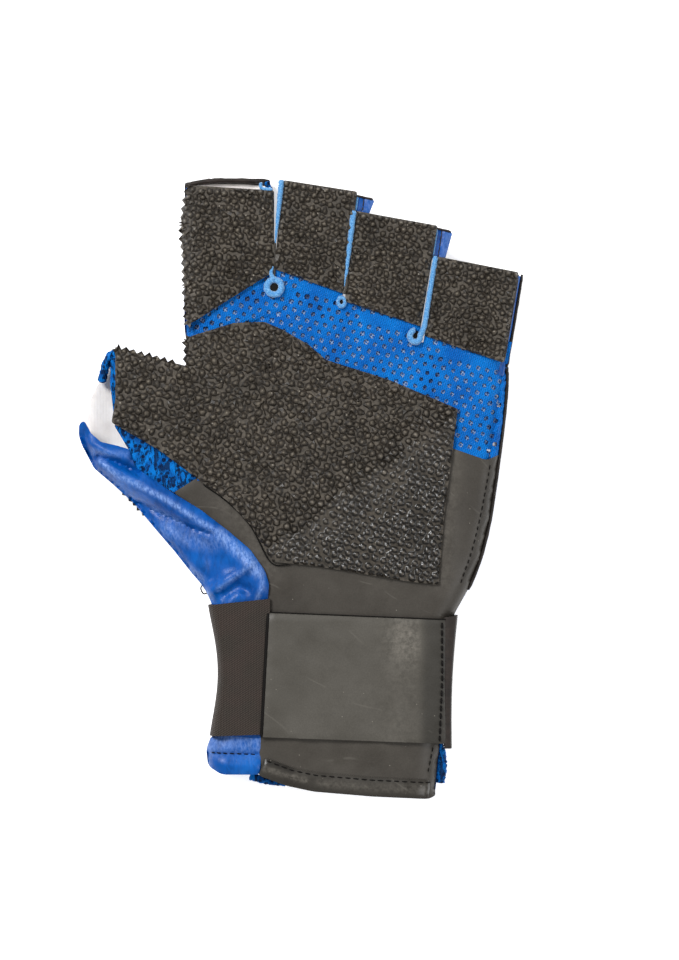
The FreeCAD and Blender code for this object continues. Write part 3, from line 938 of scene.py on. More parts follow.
def grip_height(points):
    """Base of the palm's studs. The stiff rubber stays almost flat over the closed edges."""
    curve = dome(edge_distance(points) + 5.0, EDGE_REACH + 1.0)
    return SEAM + (PALM + GRIP_LIFT - SEAM + 0.2 * waves(points, 30.0, 5)) * curve


def back_stud_height(points):
    """Base of the studs on the back."""
    return SEAM - (SEAM - BACK + GRIP_LIFT) * dome(edge_distance(points) + 2.5, EDGE_REACH)


# how far the rubber drops at each finger's left and right side, and over what reach
SIDES = {"index": ((4.6, 6.0), (1.4, 2.5)), "middle": ((1.4, 2.5), (1.6, 2.5)),
         "ring": ((1.4, 2.5), (1.6, 2.5)), "little": ((1.4, 2.5), (3.8, 5.0))}


def finger_grip_height(stall):
    """Base of a finger's studs: flat across, and rolled down at its sides."""
    left, right = SIDES[stall.name]

    def height(points):
        across = stall.local(points)[:, 0]
        ends = eased(np.array([-stall.half, stall.half]), stall) + [-1.0, 1.0]
        left_drop = left[0] * (1 - dome(across - ends[0], left[1]))
        right_drop = right[0] * (1 - dome(ends[1] - across, right[1]))
        return PALM + GRIP_LIFT - left_drop - right_drop + 0.22 * waves(points, 26.0, 9)
    return height


def finger_back_height(stall):
    """Base of the studs on a finger's back."""
    def height(points):
        across = np.abs(stall.local(points)[:, 0])
        return BACK - GRIP_LIFT + 3.0 * (1 - dome(stall.half - across, 5.0))
    return height


def index_loop():
    """The index finger's rubber with the piece of it that reaches into the palm."""
    return joined(corners("index_grip"), corners("index_grip_root"))


# how much fuller each finger is than its CAD walls, to its left and right, which closes the slits
EASE = {"index": (0.0, 0.9), "middle": (1.2, 0.0), "ring": (1.6, 0.5), "little": (0.7, 0.3)}


def eased(across, stall):
    """Positions across a finger with its ease added."""
    left, right = EASE[stall.name]
    share = np.clip(np.abs(across) / stall.half, 0, 1)
    return across + np.where(across < 0, -left, right) * share


def spread(loop, stall):
    """A finger's outline with its ease added."""
    local = stall.local(loop)
    local[:, 0] = eased(local[:, 0], stall)
    return stall.world(local)


def worn_palm(points):
    """The studs of the palm are rounder towards the heel of the hand."""
    toward_heel = (points[:, 0] - 8.0) * 0.55 - (points[:, 1] - 6.0) * 0.75
    return smooth_step(toward_heel, -6.0, 26.0)


CROTCH = np.array([-38.7, 40.6])
CROTCH_TEETH = np.array([(-39.0, 43.8), (-39.2, 49.6)])   # cut edges that studs overhang, beside the
THUMB_TEETH = np.array([(-43.0, 41.6), (-62.2, 47.0)])    # hand's crotch and over the thumb
LITTLE_TRIM = 1.2      # how far the little finger's rubber stops short of its outer edge


def build_grips():
    """The palm's rubber, which runs on over the thumb, and the fingers' palm side."""
    palm = joined(corners("palm_grip"), corners("thumb_grip"))
    crotch = np.argmin(norm(palm - CROTCH, axis=1))
    palm[crotch] = CROTCH
    thing = studded("palm_grip_rubber", rounded(palm, 0.9), grip_height, PALM_STUDS, angle=-16.0,
                    ragged=(CROTCH_TEETH, THUMB_TEETH), rounder=worn_palm)
    bends_thumb(thing, "palm_grip", "thumb_grip")
    index = index_loop()
    outer = np.array([p for p in index if p[0] < -38.0])
    for stall in STALLS.values():
        whole = stall.name == "index"
        loop = spread(index if whole else corners(stall.name + "_grip"), stall)
        if stall.name == "little":
            local = stall.local(loop)
            local[:, 0] = np.minimum(local[:, 0], stall.half - LITTLE_TRIM)
            loop = stall.world(local)
        thing = studded(stall.name + "_grip_rubber", rounded(loop, 0.8), finger_grip_height(stall),
                        FINGER_STUDS, angle=-8.0, ragged=(outer,) if whole else ())
        nodes = ["index_grip", "index_grip_root"] if whole else [stall.name + "_grip"]
        bends_finger(thing, stall, *nodes)


def build_back_grips():
    """The studded rubber on the back of the hand, the thumb and the fingers."""
    hand = joined(corners("back_grip"), corners("thumb_back_grip"))
    hand[hand[:, 0] < -48.0] += [1.5, 1.1]
    teeth = [(-67.0, 10.0), (-64.4, 1.0), (-58.0, -6.6), (-50.2, -13.4)]      # over the thumb's outer edge
    thing = studded("back_grip_rubber", rounded(hand, 2.0), back_stud_height, PALM_STUDS, angle=20.0,
                    sign=-1, ragged=(teeth,))
    bends_thumb(thing, "back_grip", "thumb_back_grip")
    for stall in STALLS.values():
        half, top = stall.half, stall.reach
        bow = 1.2 if stall.name == "index" else 0.6
        loop = [[-half, 0.3], [half, 0.3], [half - 0.6, top - 0.2], [half * 0.3, top],
                [-half * 0.6, top - 0.4], [-half, top - bow]]
        thing = studded(stall.name + "_back_rubber", rounded(stall.world(loop), 0.8),
                        finger_back_height(stall), FINGER_STUDS, angle=12.0, sign=-1)
        bends_finger(thing, stall, stall.name + "_back")


# ------------------------------------------------------------------ finger tubes
TUBE_ROOT = -4.0       # tubes start this far behind the bend line, inside the hand
TUBE_TOP = PALM - 0.8  # under the mesh and the studded rubber
TUBE_SQUARE = 4.5      # how square a finger's section is


def tube(name, stall, shrink, thickness, material, rim):
    """A closed-walled finger tube. rim(x, z) gives how far along each line of it reaches."""
    around, along = 56, 12

    def section(inset):
        wide = stall.half - 0.5 - inset
        tall = (TUBE_TOP - BACK) / 2 - inset
        angles = full_turn(around)
        c, s = np.cos(angles), np.sin(angles)
        power = 2 / TUBE_SQUARE
        return (wide * np.sign(c) * np.abs(c) ** power,
                (TUBE_TOP + BACK) / 2 + tall * np.sign(s) * np.abs(s) ** power)

    rings = []
    outer, inner = section(shrink), section(shrink + thickness)
    ends = rim(outer[0], outer[1])
    for side, order in ((outer, range(along + 1)), (inner, range(along, -1, -1))):
        upper = np.clip((side[1] - SEAM) / (TUBE_TOP - SEAM), 0, 1)
        for step in order:
            y = TUBE_ROOT + (ends - TUBE_ROOT) * step / along
            plan = stall.world(np.stack([eased(side[0], stall), y], axis=1))
            room = 1.1 * upper * (1 - smooth_step(y, 6.0, 11.0))
            rings.append(np.column_stack([plan, side[1] - room]))
    return lofted(name, rings, material, sharp=60, endless=True)


def finger_rim(stall, palm_back, back_back):
    """A rim that ends lower on the palm side and higher on the back, by how far each falls short."""
    def rim(across, height):
        share = np.clip((height - BACK) / (PALM - BACK), 0, 1)
        level = stall.reach - back_back + (stall.length - palm_back - stall.reach + back_back) * share
        bow = 0.9 * (1 - (across / stall.half) ** 2) * (1 - share)
        return level + bow
    return rim


def build_tubes():
    """The leather side walls of the fingers, each as one tube, and the white lining inside."""
    for stall in STALLS.values():
        walls = [stall.name + "_radial_fourchette", stall.name + "_ulnar_fourchette"]
        short = 2.6 if stall.name == "index" else 1.4
        shell = tube(stall.name + "_leather", stall, 0.0, 0.8, LEATHER, finger_rim(stall, 1.2, short))
        bends_finger(shell, stall, *walls)
        inner = tube(stall.name + "_lining_tube", stall, 0.8, 0.7, LINING,
                     finger_rim(stall, 1.0, short - 0.2))
        bends_finger(inner, stall, stall.name + "_lining")


def build_flaps():
    """The doubled ends of the leather side walls that stand out beside the middle and ring tips."""
    wide = 6.6
    for name, low, high in (("middle", 28.0, 33.0), ("ring", 23.4, 33.3)):
        stall = STALLS[name]
        edge = stall.half
        middle = edge + wide * 0.42
        rubber = edge + EASE[name][1]
        loop = [[edge - 0.6, low - 0.6], [edge + wide - 1.5, low - 0.4], [edge + wide - 0.3, high - 1.0],
                [edge + wide - 0.8, high - 0.4], [edge - 0.6, high]]
        loop = rounded(stall.world(loop), 0.3)

        def height(points):
            across = stall.local(points)[:, 0] - edge
            fold = np.exp(-((across - wide * 0.42) / 0.6) ** 2)
            return PALM - 0.3 - 0.12 * across - 0.7 * fold

        def wear_and_light(points):
            return 0.35 * smooth_step(stall.local(points)[:, 0] - middle, 0.0, 1.5)
        flap = panel(name + "_flap", loop, height, 0.8, LEATHER, step=0.9, wear_and_light=wear_and_light)
        bends_finger(flap, stall)
        lines = ((middle, low + 0.4, middle, high - 0.3, 0.24, BROWN, "seam"),
                 (edge - 0.4, high + 0.1, edge + wide - 0.8, high - 0.4, 0.4, BROWN, "end"),
                 (rubber + 0.5, low, rubber + 0.5, high, 0.42, BINDING, "edge"))
        for x0, y0, x1, y1, radius, material, part in lines:
            plan = stall.world(line_points([(x0, y0), (x1, y1)], 8))
            cord = piped(f"{name}_flap_{part}", np.column_stack([plan, height(plan) + 0.05]), radius,
                         material, sides=8, fuzz=0.12)
            bends_finger(cord, stall)


# ------------------------------------------------------------------ spacer mesh
HOLE_PITCH = (3.2, 2.6)
HOLE_ROWS = 45         # rows of holes to each side of the plan's middle, more than any panel needs
HOLE_RADIUS = 0.98
MESH_TILT = -13.0      # how far the rows of holes are turned, in degrees


def mesh_holes(loop, covers):
    """Round holes in staggered rows over the part of a loop that nothing covers."""
    count = range(-HOLE_ROWS, HOLE_ROWS + 1)
    places = [[(column + 0.5 * (row % 2)) * HOLE_PITCH[0], row * HOLE_PITCH[1]]
              for row in count for column in count]
    places = np.array(places) + rng.uniform(-0.14, 0.14, (len(places), 2))
    places = places @ spin(MESH_TILT)
    places = places[inside(places, loop)]
    places = places[distance(places, closed(loop)) > HOLE_RADIUS + 0.55]
    for cover in covers:
        places = places[~inside(places, cover) | (distance(places, closed(cover)) < 2.5)]
    holes = []
    for place in places:
        size = HOLE_RADIUS * rng.uniform(0.8, 1.08)
        angles = full_turn(8) + rng.uniform(0, 0.7)
        ring = np.stack([np.cos(angles) * size * 0.86, np.sin(angles) * size * 1.1], axis=1)
        holes.append(place + ring @ spin(MESH_TILT))
    return holes


MESH_CREASES = [
    # round the first web loop, at the crotch, under the small loops, and down the outer side
    ([(-19.0, 54.0), (-13.0, 56.0), (-7.0, 58.0), (-4.2, 61.0), (-3.6, 65.0)], -0.9, 0.8),
    ([(-38.0, 56.5), (-33.5, 52.5)], -0.9, 0.6),
    ([(-36.0, 59.0), (-30.5, 54.0)], -0.9, 0.6),
    ([(-39.0, 54.0), (-36.0, 51.5)], -0.9, 0.5),
    ([(15.5, 57.0), (19.0, 60.5)], -0.8, 0.5),
    ([(37.5, 46.5), (45.0, 47.5)], -0.7, 0.6),
    ([(66.6, 41.0), (65.3, 30.0), (62.0, 9.0)], -1.7, 0.9),
]


def mesh_cloth_height(points):
    """The mesh lies a little slack: shallow folds run across it, and a few sharp creases."""
    def slack(points):
        return palm_height(points) - 0.15 + 0.3 * waves(points, 15.0, 12)
    return bumped(slack, MESH_CREASES)(points)


def gusset_height(points):
    """The thumb's mesh gusset is more crumpled."""
    return palm_height(points) - 0.7 + 0.75 * waves(points, 8.0, 21)


def mesh_layers(name, endings, loop, height, outer, inner, material, **options):
    """The knitted face and the dark core below it. outer and inner are each a lift and a thickness."""
    face, core = (f"{name}_{ending}" for ending in endings)
    return (panel(face, loop, lambda p: height(p) + outer[0], outer[1], material, **options),
            panel(core, loop, lambda p: height(p) + inner[0], inner[1], CORE, step=2.5))


def build_mesh():
    """The palm's mesh, its strips under the finger roots, and the thumb's gusset."""
    palm = corners("palm_mesh")
    notch = (palm[:, 0] > 39.0) & (palm[:, 0] < 41.0) & (palm[:, 1] < 46.5)
    palm[notch, 1] += 3.0
    palm[(palm[:, 0] < -38.0), 0] += 0.8
    covers = [corners("palm_grip"), index_loop()]
    cloth, core = mesh_layers("palm_mesh", ("cloth", "core"), palm, mesh_cloth_height, (0.0, 0.7),
                              (-0.85, 0.4), MESH, step=1.25, holes=mesh_holes(palm, covers), bevel=0.15)
    bends_thumb(cloth, "palm_mesh")
    bends_thumb(core)
    for stall in STALLS.values():
        wide, deep = stall.half, 7.5
        left = -wide + (1.0 if stall.name == "index" else 0.0)
        loop = spread(stall.world([[left, -1.2], [wide, -1.2], [wide, deep], [left, deep]]), stall)
        grip = index_loop() if stall.name == "index" else corners(stall.name + "_grip")
        holes = mesh_holes(loop, [spread(grip, stall)])
        for layer in mesh_layers(stall.name + "_root", ("mesh", "core"), loop, mesh_cloth_height,
                                 (0.07, 0.6), (-0.7, 0.3), MESH, step=1.25, holes=holes, bevel=0.05):
            bends_finger(layer, stall)
    thumb = corners("thumb_mesh")
    thumb[:, 0] = np.maximum(thumb[:, 0], corners("thumb_grip")[:, 0].min() - 0.5)
    thumb = under_crotch(without_corner(thumb))
    cloth, core = mesh_layers("thumb_mesh", ("cloth", "core"), thumb, gusset_height, (0.0, 0.6),
                              (-1.0, 0.4), CRUMPLED, step=0.8, bevel=0.15)
    bends_thumb(cloth, "thumb_mesh", "thumb_web_side")
    bends_thumb(core)


# ------------------------------------------------------------------ smooth rubber and leather
def bumped(height, lines, base=0.0):
    """A height function with ridges and creases added. Each line is a path, a rise and a width."""
    def shaped(points):
        total = height(points) + base
        for path, rise, width in lines:
            total = total + rise * beside(points, path, width)
        return total
    return shaped


GUSSET_CORNER = np.array([(-35.4, 3.2), (-42.8, -1.5)])     # where mesh ends and rubber begins


def under_crotch(loop):
    """A loop with its corner beside the hand's crotch drawn back under the studded rubber."""
    near = norm(loop - CROTCH, axis=1) < 3.4
    loop = loop.copy()
    loop[near] = CROTCH + [1.2, -1.2]
    return loop


def without_corner(loop):
    """The gusset's outline without the corner that the heel's rubber fills."""
    lowest = np.argmin(loop[:, 1])
    head, tail = loop[:lowest - 1], loop[lowest + 1:]
    return np.vstack([head, GUSSET_CORNER[::-1] if head[-1][0] < -45 else GUSSET_CORNER, tail])


def build_heel():
    """One sheet of smooth rubber from the palm patch to the hem, folded slightly at the wrist."""
    loop = corners("heel_panel")
    at = int(np.argmin(norm(loop - np.array([-34.9, 2.2]), axis=1)))
    loop = np.vstack([loop[:at], GUSSET_CORNER, loop[at + 1:]])
    folds = [([(58.0, 8.0), (55.5, -10.0), (52.0, -27.0)], -0.5, 3.0),
             ([(49.0, -8.0), (48.0, -38.0)], 0.35, 4.0),
             ([(-5.0, -90.0), (20.0, -93.0), (40.0, -92.0)], -0.35, 4.0)]
    band = [(51.5, 12.0), (49.0, -10.0), (47.0, -33.0)]
    web = [(-27.0, -4.0), (-17.0, -15.0), (-11.0, -27.0)]

    def wear_and_light(points):
        """Painted light: paler beside the palm's rubber, and painted shade towards the outer edge, where
        the rubber curves down.
        """
        pale = beside(points, band, 3.0) + beside(points, web, 4.0)
        return 0.3 * pale - 0.22 * smooth_step(points[:, 0], 51.0, 56.0)
    sheet = panel("heel_rubber", rounded(loop, 1.0), bumped(palm_height, folds), CLOTH, HEEL, step=2.0,
                  wear_and_light=wear_and_light)
    bends_thumb(sheet, "heel_panel")
    hem = corners("cuff_hem")
    roll = [(-12.0, -93.8), (1.0, -97.6), (18.0, -99.8), (41.0, -100.6)]
    hem_height = bumped(palm_height, [(roll, 0.5, 2.6)], 0.95)
    streak = [(-12.0, -93.2), (-7.5, -94.6), (-3.7, -95.7), (1.1, -97.2)]
    middle = [(6.0, -98.2), (23.0, -99.6), (41.0, -100.2)]
    corner = [(-14.0, -91.0), (-9.0, -91.6), (-4.0, -93.6)]

    def hem_light(points):
        """Painted highlights: a bright streak at its left end and a faint one along its middle; painted
        shade in the hollow above.
        """
        pale = beside(points, streak, 0.9) + 0.5 * beside(points, middle, 1.5)
        return pale - 0.9 * beside(points, corner, 1.3)
    fold = panel("cuff_hem_fold", rounded(hem, 1.3), hem_height, 1.3, HEM, step=1.0, bevel=0.5,
                 wear_and_light=hem_light)
    on_hand(fold, "cuff_hem")


# the leather's rolled upper end round the thumb's mouth
MOUTH_ROLL = np.array([(-57.9, 12.6), (-62.1, 13.8), (-67.3, 15.0), (-70.8, 18.0), (-72.8, 22.0),
                       (-74.0, 21.0), (-74.2, 17.6), (-73.0, 14.0)])
# ridges and valleys of the leather: a path, its rise and its width
LEATHER_FORM = [
    # the roll along the palm's edge, from the thumb's mouth to the wrist
    ([(-66.8, 7.6), (-55.6, 1.6), (-44.4, -3.8), (-34.0, -9.6), (-25.1, -17.5), (-18.4, -24.7),
      (-15.0, -28.5), (-14.4, -32.6)], 1.9, 3.2),
    # the valley below it
    ([(-57.0, -4.6), (-48.0, -9.4), (-40.0, -13.8), (-33.0, -18.5), (-29.5, -24.0), (-30.0, -29.5)],
     -1.7, 2.4),
    ([(-54.6, -4.9), (-48.1, -8.2), (-42.0, -10.8), (-36.4, -13.6), (-30.0, -15.5)], -1.5, 0.9),
    # the fold from the wrist's corner, and the hollows beside it
    ([(-31.5, -34.8), (-26.0, -31.2), (-20.4, -27.8), (-17.6, -25.5)], 1.5, 1.7),
    ([(-26.0, -35.5), (-21.5, -32.6), (-18.2, -33.8)], -1.7, 1.8),
    ([(-50.0, -12.5), (-42.0, -19.5), (-36.0, -27.0)], 0.8, 2.4),
    # the rolled rim of the thumb's mouth and the crease under it
    ([(-58.5, 10.4), (-64.0, 11.6), (-69.5, 14.2), (-72.5, 15.6)], 1.5, 1.7),
    ([(-68.0, 10.4), (-63.0, 9.0), (-58.0, 6.6), (-54.5, 5.0)], -2.3, 1.1),
]
# painted highlights along the leather's crests: a path, how pale and how wide
LEATHER_HIGHLIGHTS = [
    # painted highlights on the long roll, its wrinkled end, the lower lips and folds
    ([(-67.3, 9.2), (-62.1, 4.4), (-54.6, 0.9), (-48.1, -2.3), (-41.1, -6.5), (-34.6, -10.8),
      (-28.2, -14.6)], 1.0, 0.9),
    ([(-27.5, -15.4), (-22.6, -20.0), (-18.5, -23.2), (-15.0, -27.6)], 1.0, 2.0),
    ([(-13.6, -29.0), (-13.3, -31.0), (-14.0, -34.4), (-15.1, -36.8)], 0.8, 0.8),
    ([(-50.0, -6.9), (-43.9, -9.5), (-39.8, -12.0)], 0.6, 0.7),
    ([(-69.6, 12.2), (-64.9, 11.7), (-58.4, 11.2)], 0.4, 1.3),
    ([(-46.0, -13.6), (-38.0, -17.0), (-30.0, -18.6)], 0.42, 3.0),
    ([(-37.4, -27.0), (-33.5, -30.4)], 0.5, 1.6),
    ([(-32.0, -35.2), (-30.8, -37.5)], 0.7, 1.3),
    ([(-28.1, -33.8), (-24.0, -30.8), (-19.9, -27.8), (-18.2, -26.2)], 0.7, 0.8),
]


def leather_highlight(points):
    """How strong the leather's painted highlight is, from 0 to 1."""
    return np.max([share * beside(points, path, width) for path, share, width in LEATHER_HIGHLIGHTS], axis=0)


def leather_height(points):
    """The leather is fuller than the cloth: it rolls up from the closed edge, with folds."""
    def full(points):
        return SEAM + (PALM + 0.5 - SEAM) * dome(edge_distance(points), 9.0)
    shaped = bumped(full, LEATHER_FORM)(points) + 0.16 * waves(points, 9.0, 31)
    under_strap = smooth_step(-points[:, 1], 35.0, 37.5)
    return shaped * (1 - under_strap) + np.minimum(shaped, PALM + 0.2) * under_strap


def drawn_in(loop):
    """A loop with its outer edge drawn in under the elastic's waist."""
    low, high = span("strap_elastic")
    loop = resampled(loop, 2.0)
    share = np.clip((loop[:, 1] - low[1]) / (high[1] - low[1]), 0, 1)
    waist = low[0] + 1.9 + 3.7 * np.sin(math.pi * share) ** 0.6
    under = (loop[:, 0] < waist) & (loop[:, 1] > low[1] - 0.2) & (share < 0.98)
    loop[under, 0] = waist[under]
    return loop


def build_leather():
    """The thumb's leather and the wrist's leather, which are one piece, and the cuff's leather end."""
    loop = joined(corners("thumb_leather"), corners("wrist_leather"))
    upper = (loop[:, 0] < -56.5) & (loop[:, 1] > 11.5)
    first, last = np.flatnonzero(upper)[[0, -1]]
    loop = np.vstack([loop[:first], MOUTH_ROLL, loop[last + 1:]])
    loop = rounded(loop, 0.8)
    loop = drawn_in(loop + 0.4 * outward(loop))
    sheet = panel("thumb_wrist_leather", loop, leather_height, CLOTH, LEATHER,
                  step=0.9, bevel=0.35, wear_and_light=leather_highlight)
    bends_thumb(sheet, "thumb_leather", "wrist_leather", "thumb_outer_side")
    loop = corners("cuff_leather")
    loop[loop[:, 1] > -84.0] += [0.0, 3.0]
    loop[loop[:, 0] > -16.0] += [0.7, 0.0]
    seam_and_roll = [([(-31.0, -88.3), (-15.0, -88.3)], -1.1, 0.7),
                     ([(-29.5, -91.9), (-15.0, -92.6)], 1.1, 2.0)]
    cuff = panel("cuff_leather_tab", drawn_in(rounded(loop, 1.6)),
                 bumped(leather_height, seam_and_roll, -0.3), CLOTH, LEATHER, step=1.0, bevel=0.4,
                 wear_and_light=lambda p: 0.45 * smooth_step(p[:, 1], -92.0, -86.0))
    on_hand(cuff, "cuff_leather", "cuff_radial_side")


# ------------------------------------------------------------------ linings and the back
def build_linings():
    """The white lining of the hand, palm side and back."""
    for node, height, thickness in (("palm_lining", lambda p: palm_height(p) - 2.0, 0.5),
                                    ("back_lining", lambda p: back_height(p) + 1.7, 0.6)):
        on_hand(panel(node + "_cloth", corners(node), height, thickness, LINING, step=3.0, bevel=0.1), node)


def thumb_mouth_height(points):
    """Inner face of the thumb's back: it rises a little towards the open mouth's corner."""
    return back_height(points) + 1.5 + 2.0 * smooth_step(-points[:, 0], 62.0, 74.0)


def build_back():
    """The back: leather panels with their outer faces down, and the cuff's back."""
    def under(points):
        return back_height(points) + CLOTH
    hand = joined(corners("back_panel"), corners("thumb_back"))
    hand[(hand[:, 0] < -61.0) & (hand[:, 1] > 16.0), 0] += 1.8
    hand = under_crotch(hand)
    sheet = panel("back_leather", rounded(hand, 0.8), under, CLOTH, LEATHER, step=2.2, bevel=0.2)
    bends_thumb(sheet, "back_panel", "thumb_back")
    cuff = panel("cuff_back_leather", drawn_in(rounded(corners("cuff_back"), 1.2)), under, CLOTH, LEATHER,
                 step=2.2)
    on_hand(cuff, "cuff_back", "cuff_ulnar_side")
    lining = corners("thumb_lining")
    lining = np.array([p for p in lining if not (p[0] < -60.0 and p[1] > 6.0)])
    at = int(np.argmin(norm(lining - np.array([-60.6, 3.4]), axis=1)))
    mouth = np.array([(-61.5, 43.8), (-64.6, 42.2), (-66.8, 37.0), (-68.6, 34.8), (-71.8, 28.0),
                      (-74.7, 20.8), (-74.3, 17.0), (-69.0, 8.8)])
    loop = np.vstack([lining[:at], mouth, lining[at:]])
    white = panel("thumb_lining_cloth", rounded(loop, 0.8), thumb_mouth_height, 0.6, LINING, step=1.2)
    bends_thumb(white, "thumb_lining")
    bindings = (
        ("thumb_mouth_binding", 24, 1.5, 1.2, [(-61.6, 45.2, 12.0), (-63.6, 44.4, 11.0), (-65.6, 41.4, 9.4),
                                               (-66.4, 38.5, 8.6), (-67.2, 35.2, 8.2)]),
        ("thumb_mouth_edge", 20, 1.15, 1.0, [(-62.0, 45.0, 11.6), (-62.2, 41.0, 11.2), (-61.9, 37.5, 11.0),
                                             (-61.6, 34.6, 10.6)]),
    )
    for name, count, radius, flat, path in bindings:
        bends_thumb(piped(name, curve_points(path, count), radius, CRUMPLED, flat=flat, sides=12,
                          fuzz=0.16))


def build_seams():
    """Bound seams where palm side and back side meet."""
    for side, edge, material in (("ulnar", outer_path("ulnar_side"), BROWN),
                                 ("radial", CROTCH_EDGE + [1.3, 0.0], LEATHER)):
        path = curve_points(lifted(edge, SEAM), 40)
        cord = piped(side + "_seam", path, 0.75, material, flat=1.3, sides=8, fuzz=0.08)
        on_hand(cord, side + "_side")


# ------------------------------------------------------------------ strap
def c_section(left, right, low, high, thickness, opens_right, bulge):
    """Outline in x, z of a strip folded round an edge, with a rounded fold and a sunk free end."""
    steps = 10
    middle, half = (low + high) / 2, (high - low) / 2
    fold, free = (left, right) if opens_right else (right, left)
    toward = 1 if opens_right else -1

    def side(inset):
        path = [(free, high - inset - 0.5), (free - toward * 0.25 * abs(right - left), high - inset)]
        for i in range(steps + 1):
            a = math.pi / 2 - math.pi * i / steps
            x = fold + toward * (bulge - (bulge - inset) * math.cos(a) ** 0.7)
            path.append((x, middle + (half - inset) * math.sin(a)))
        path.append((free, low + inset))
        return path
    return side(0.0) + side(thickness)[::-1]


def folded_strip(name, section, rows, material, edge, opens_right, lean):
    """A section in x, z carried along y. edge moves the fold's x, and lean the free edge's y."""
    xs = np.array([x for x, _ in section])
    free, fold = (xs.max(), xs.min()) if opens_right else (xs.min(), xs.max())
    share = (free - xs) / (free - fold)
    rings = []
    for y in rows:
        t = (y - rows[0]) / (rows[-1] - rows[0])
        rings.append(np.column_stack([xs + edge(t) * share, y + lean(t) * (1 - share),
                                      [z for _, z in section]]))
    return lofted(name, rings, material, sharp=50)


def build_strap():
    """The wrist strap: rubber panel, elastic, folded edge, and the back with its hook tab."""
    low, high = span("strap_panel")
    elastic_low, elastic_high = span("strap_elastic")
    binding_low, binding_high = span("strap_edge_binding")
    top = high[2] - 0.25

    slant = 2.2
    loop = np.array([[low[0] - 1.9, low[1] + slant], [high[0] + 0.2, low[1]],
                     [high[0] + 0.2, high[1] - slant], [low[0] + 0.3, high[1] + 0.2]])

    def strap_height(points):
        edge_roll = 0.5 * np.exp(-(high[1] - points[:, 1]) / 1.2)
        return top - edge_roll + 0.25 * waves(points, 38.0, 41)

    def wear_and_light(points):
        """Scuffed pale near the sewn end, and painted shade beyond that, where the strap turns round the
        wrist.
        """
        scuff = np.exp(-(np.hypot((points[:, 0] - 34.5) / 5.5, (points[:, 1] + 50.5) / 7.5)) ** 2)
        streak = 0.25 * np.exp(-((points[:, 0] - 33.0) / 8.0) ** 2)
        return scuff + streak - 0.85 * smooth_step(points[:, 0], 38.0, 41.5)
    sheet = panel("strap_rubber", rounded(loop, 0.5), strap_height, 1.3, STRAP, step=1.5, bevel=0.4,
                  wear_and_light=wear_and_light)
    on_hand(sheet, "strap_panel")
    # the second cord is black thread laid as a painted shadow where the strap's edge overlaps the elastic
    for name, ends, drop, radius, sides in (("strap_cut_edge", loop[[2, 3]], 0.15, 0.2, 6),
                                            ("strap_joint_shadow", loop[[3, 0]] - [0.3, 0.0], 0.55, 0.55, 8)):
        line = line_points(ends, 60)
        line = np.column_stack([line, strap_height(line) - drop])
        on_hand(piped(name, line, radius, THREAD, sides=sides))

    section = c_section(elastic_low[0], elastic_high[0] + 0.6, elastic_low[2] + 0.4, top - 0.3, 1.3, True,
                        5.0)
    rows = np.linspace(elastic_low[1], elastic_high[1], 30)

    def waist(t):
        return 2.9 * math.sin(math.pi * t) ** 1.2 + 0.6 * (1 - t)
    wrap = folded_strip("elastic_wrap", section, rows, ELASTIC, waist, True,
                        lambda t: 2.2 * t ** 3 + 0.7 * (1 - t) ** 3)
    on_hand(wrap, "strap_elastic")

    section = c_section(binding_low[0] - 0.4, binding_high[0] - 0.6, binding_low[2], top + 0.1, 1.2, False,
                        1.4)
    rows = np.linspace(binding_low[1] - 1.6, binding_high[1] - 0.9, 24)

    def narrowing(t):
        return -2.0 * (1 - t) - 0.8 * math.sin(math.pi * t)
    fold = folded_strip("strap_edge_fold", section, rows, BROWN, narrowing, False,
                        lambda t: -0.6 * t ** 3)
    on_hand(fold, "strap_edge_binding")

    for node, name, material, corner, inset in (("strap_back", "strap_back_web", ELASTIC, 1.5, 0.05),
                                                ("loop_patch", "loop_patch_pile", PILE, 1.5, 0.05),
                                                ("hook_tab", "strap_tab_web", ELASTIC, 4.0, 0.03),
                                                ("hook_patch", "hook_patch_tape", HOOKS, 2.0, 0.03)):
        base, roof = span(node)
        sheet = panel(name, rounded(corners(node), corner), lambda p, z=roof[2] - inset: np.full(len(p), z),
                      roof[2] - base[2] - 2 * inset, material, step=3.0, bevel=0.15)
        if node.startswith("hook"):
            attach(sheet, "strap_tab")
            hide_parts(node)
        else:
            on_hand(sheet, node)


# ------------------------------------------------------------------ bindings, loops and stitches
# each slit's sewn loop: centre, radius and squeeze
WEB_LOOPS = {"middle": ((-9.4, 66.8), 2.45, 1.0), "ring": ((13.0, 61.9), 1.45, 0.8),
             "little": ((37.5, 50.5), 1.95, 0.9)}
# each slit's tape: radius at the tip, how far down the slit it reaches, and its end's share of radius
TAPES = {"middle": (0.95, 0.74, 0.25), "ring": (1.0, 0.88, 0.3), "little": (0.88, 1.0, 1.1)}


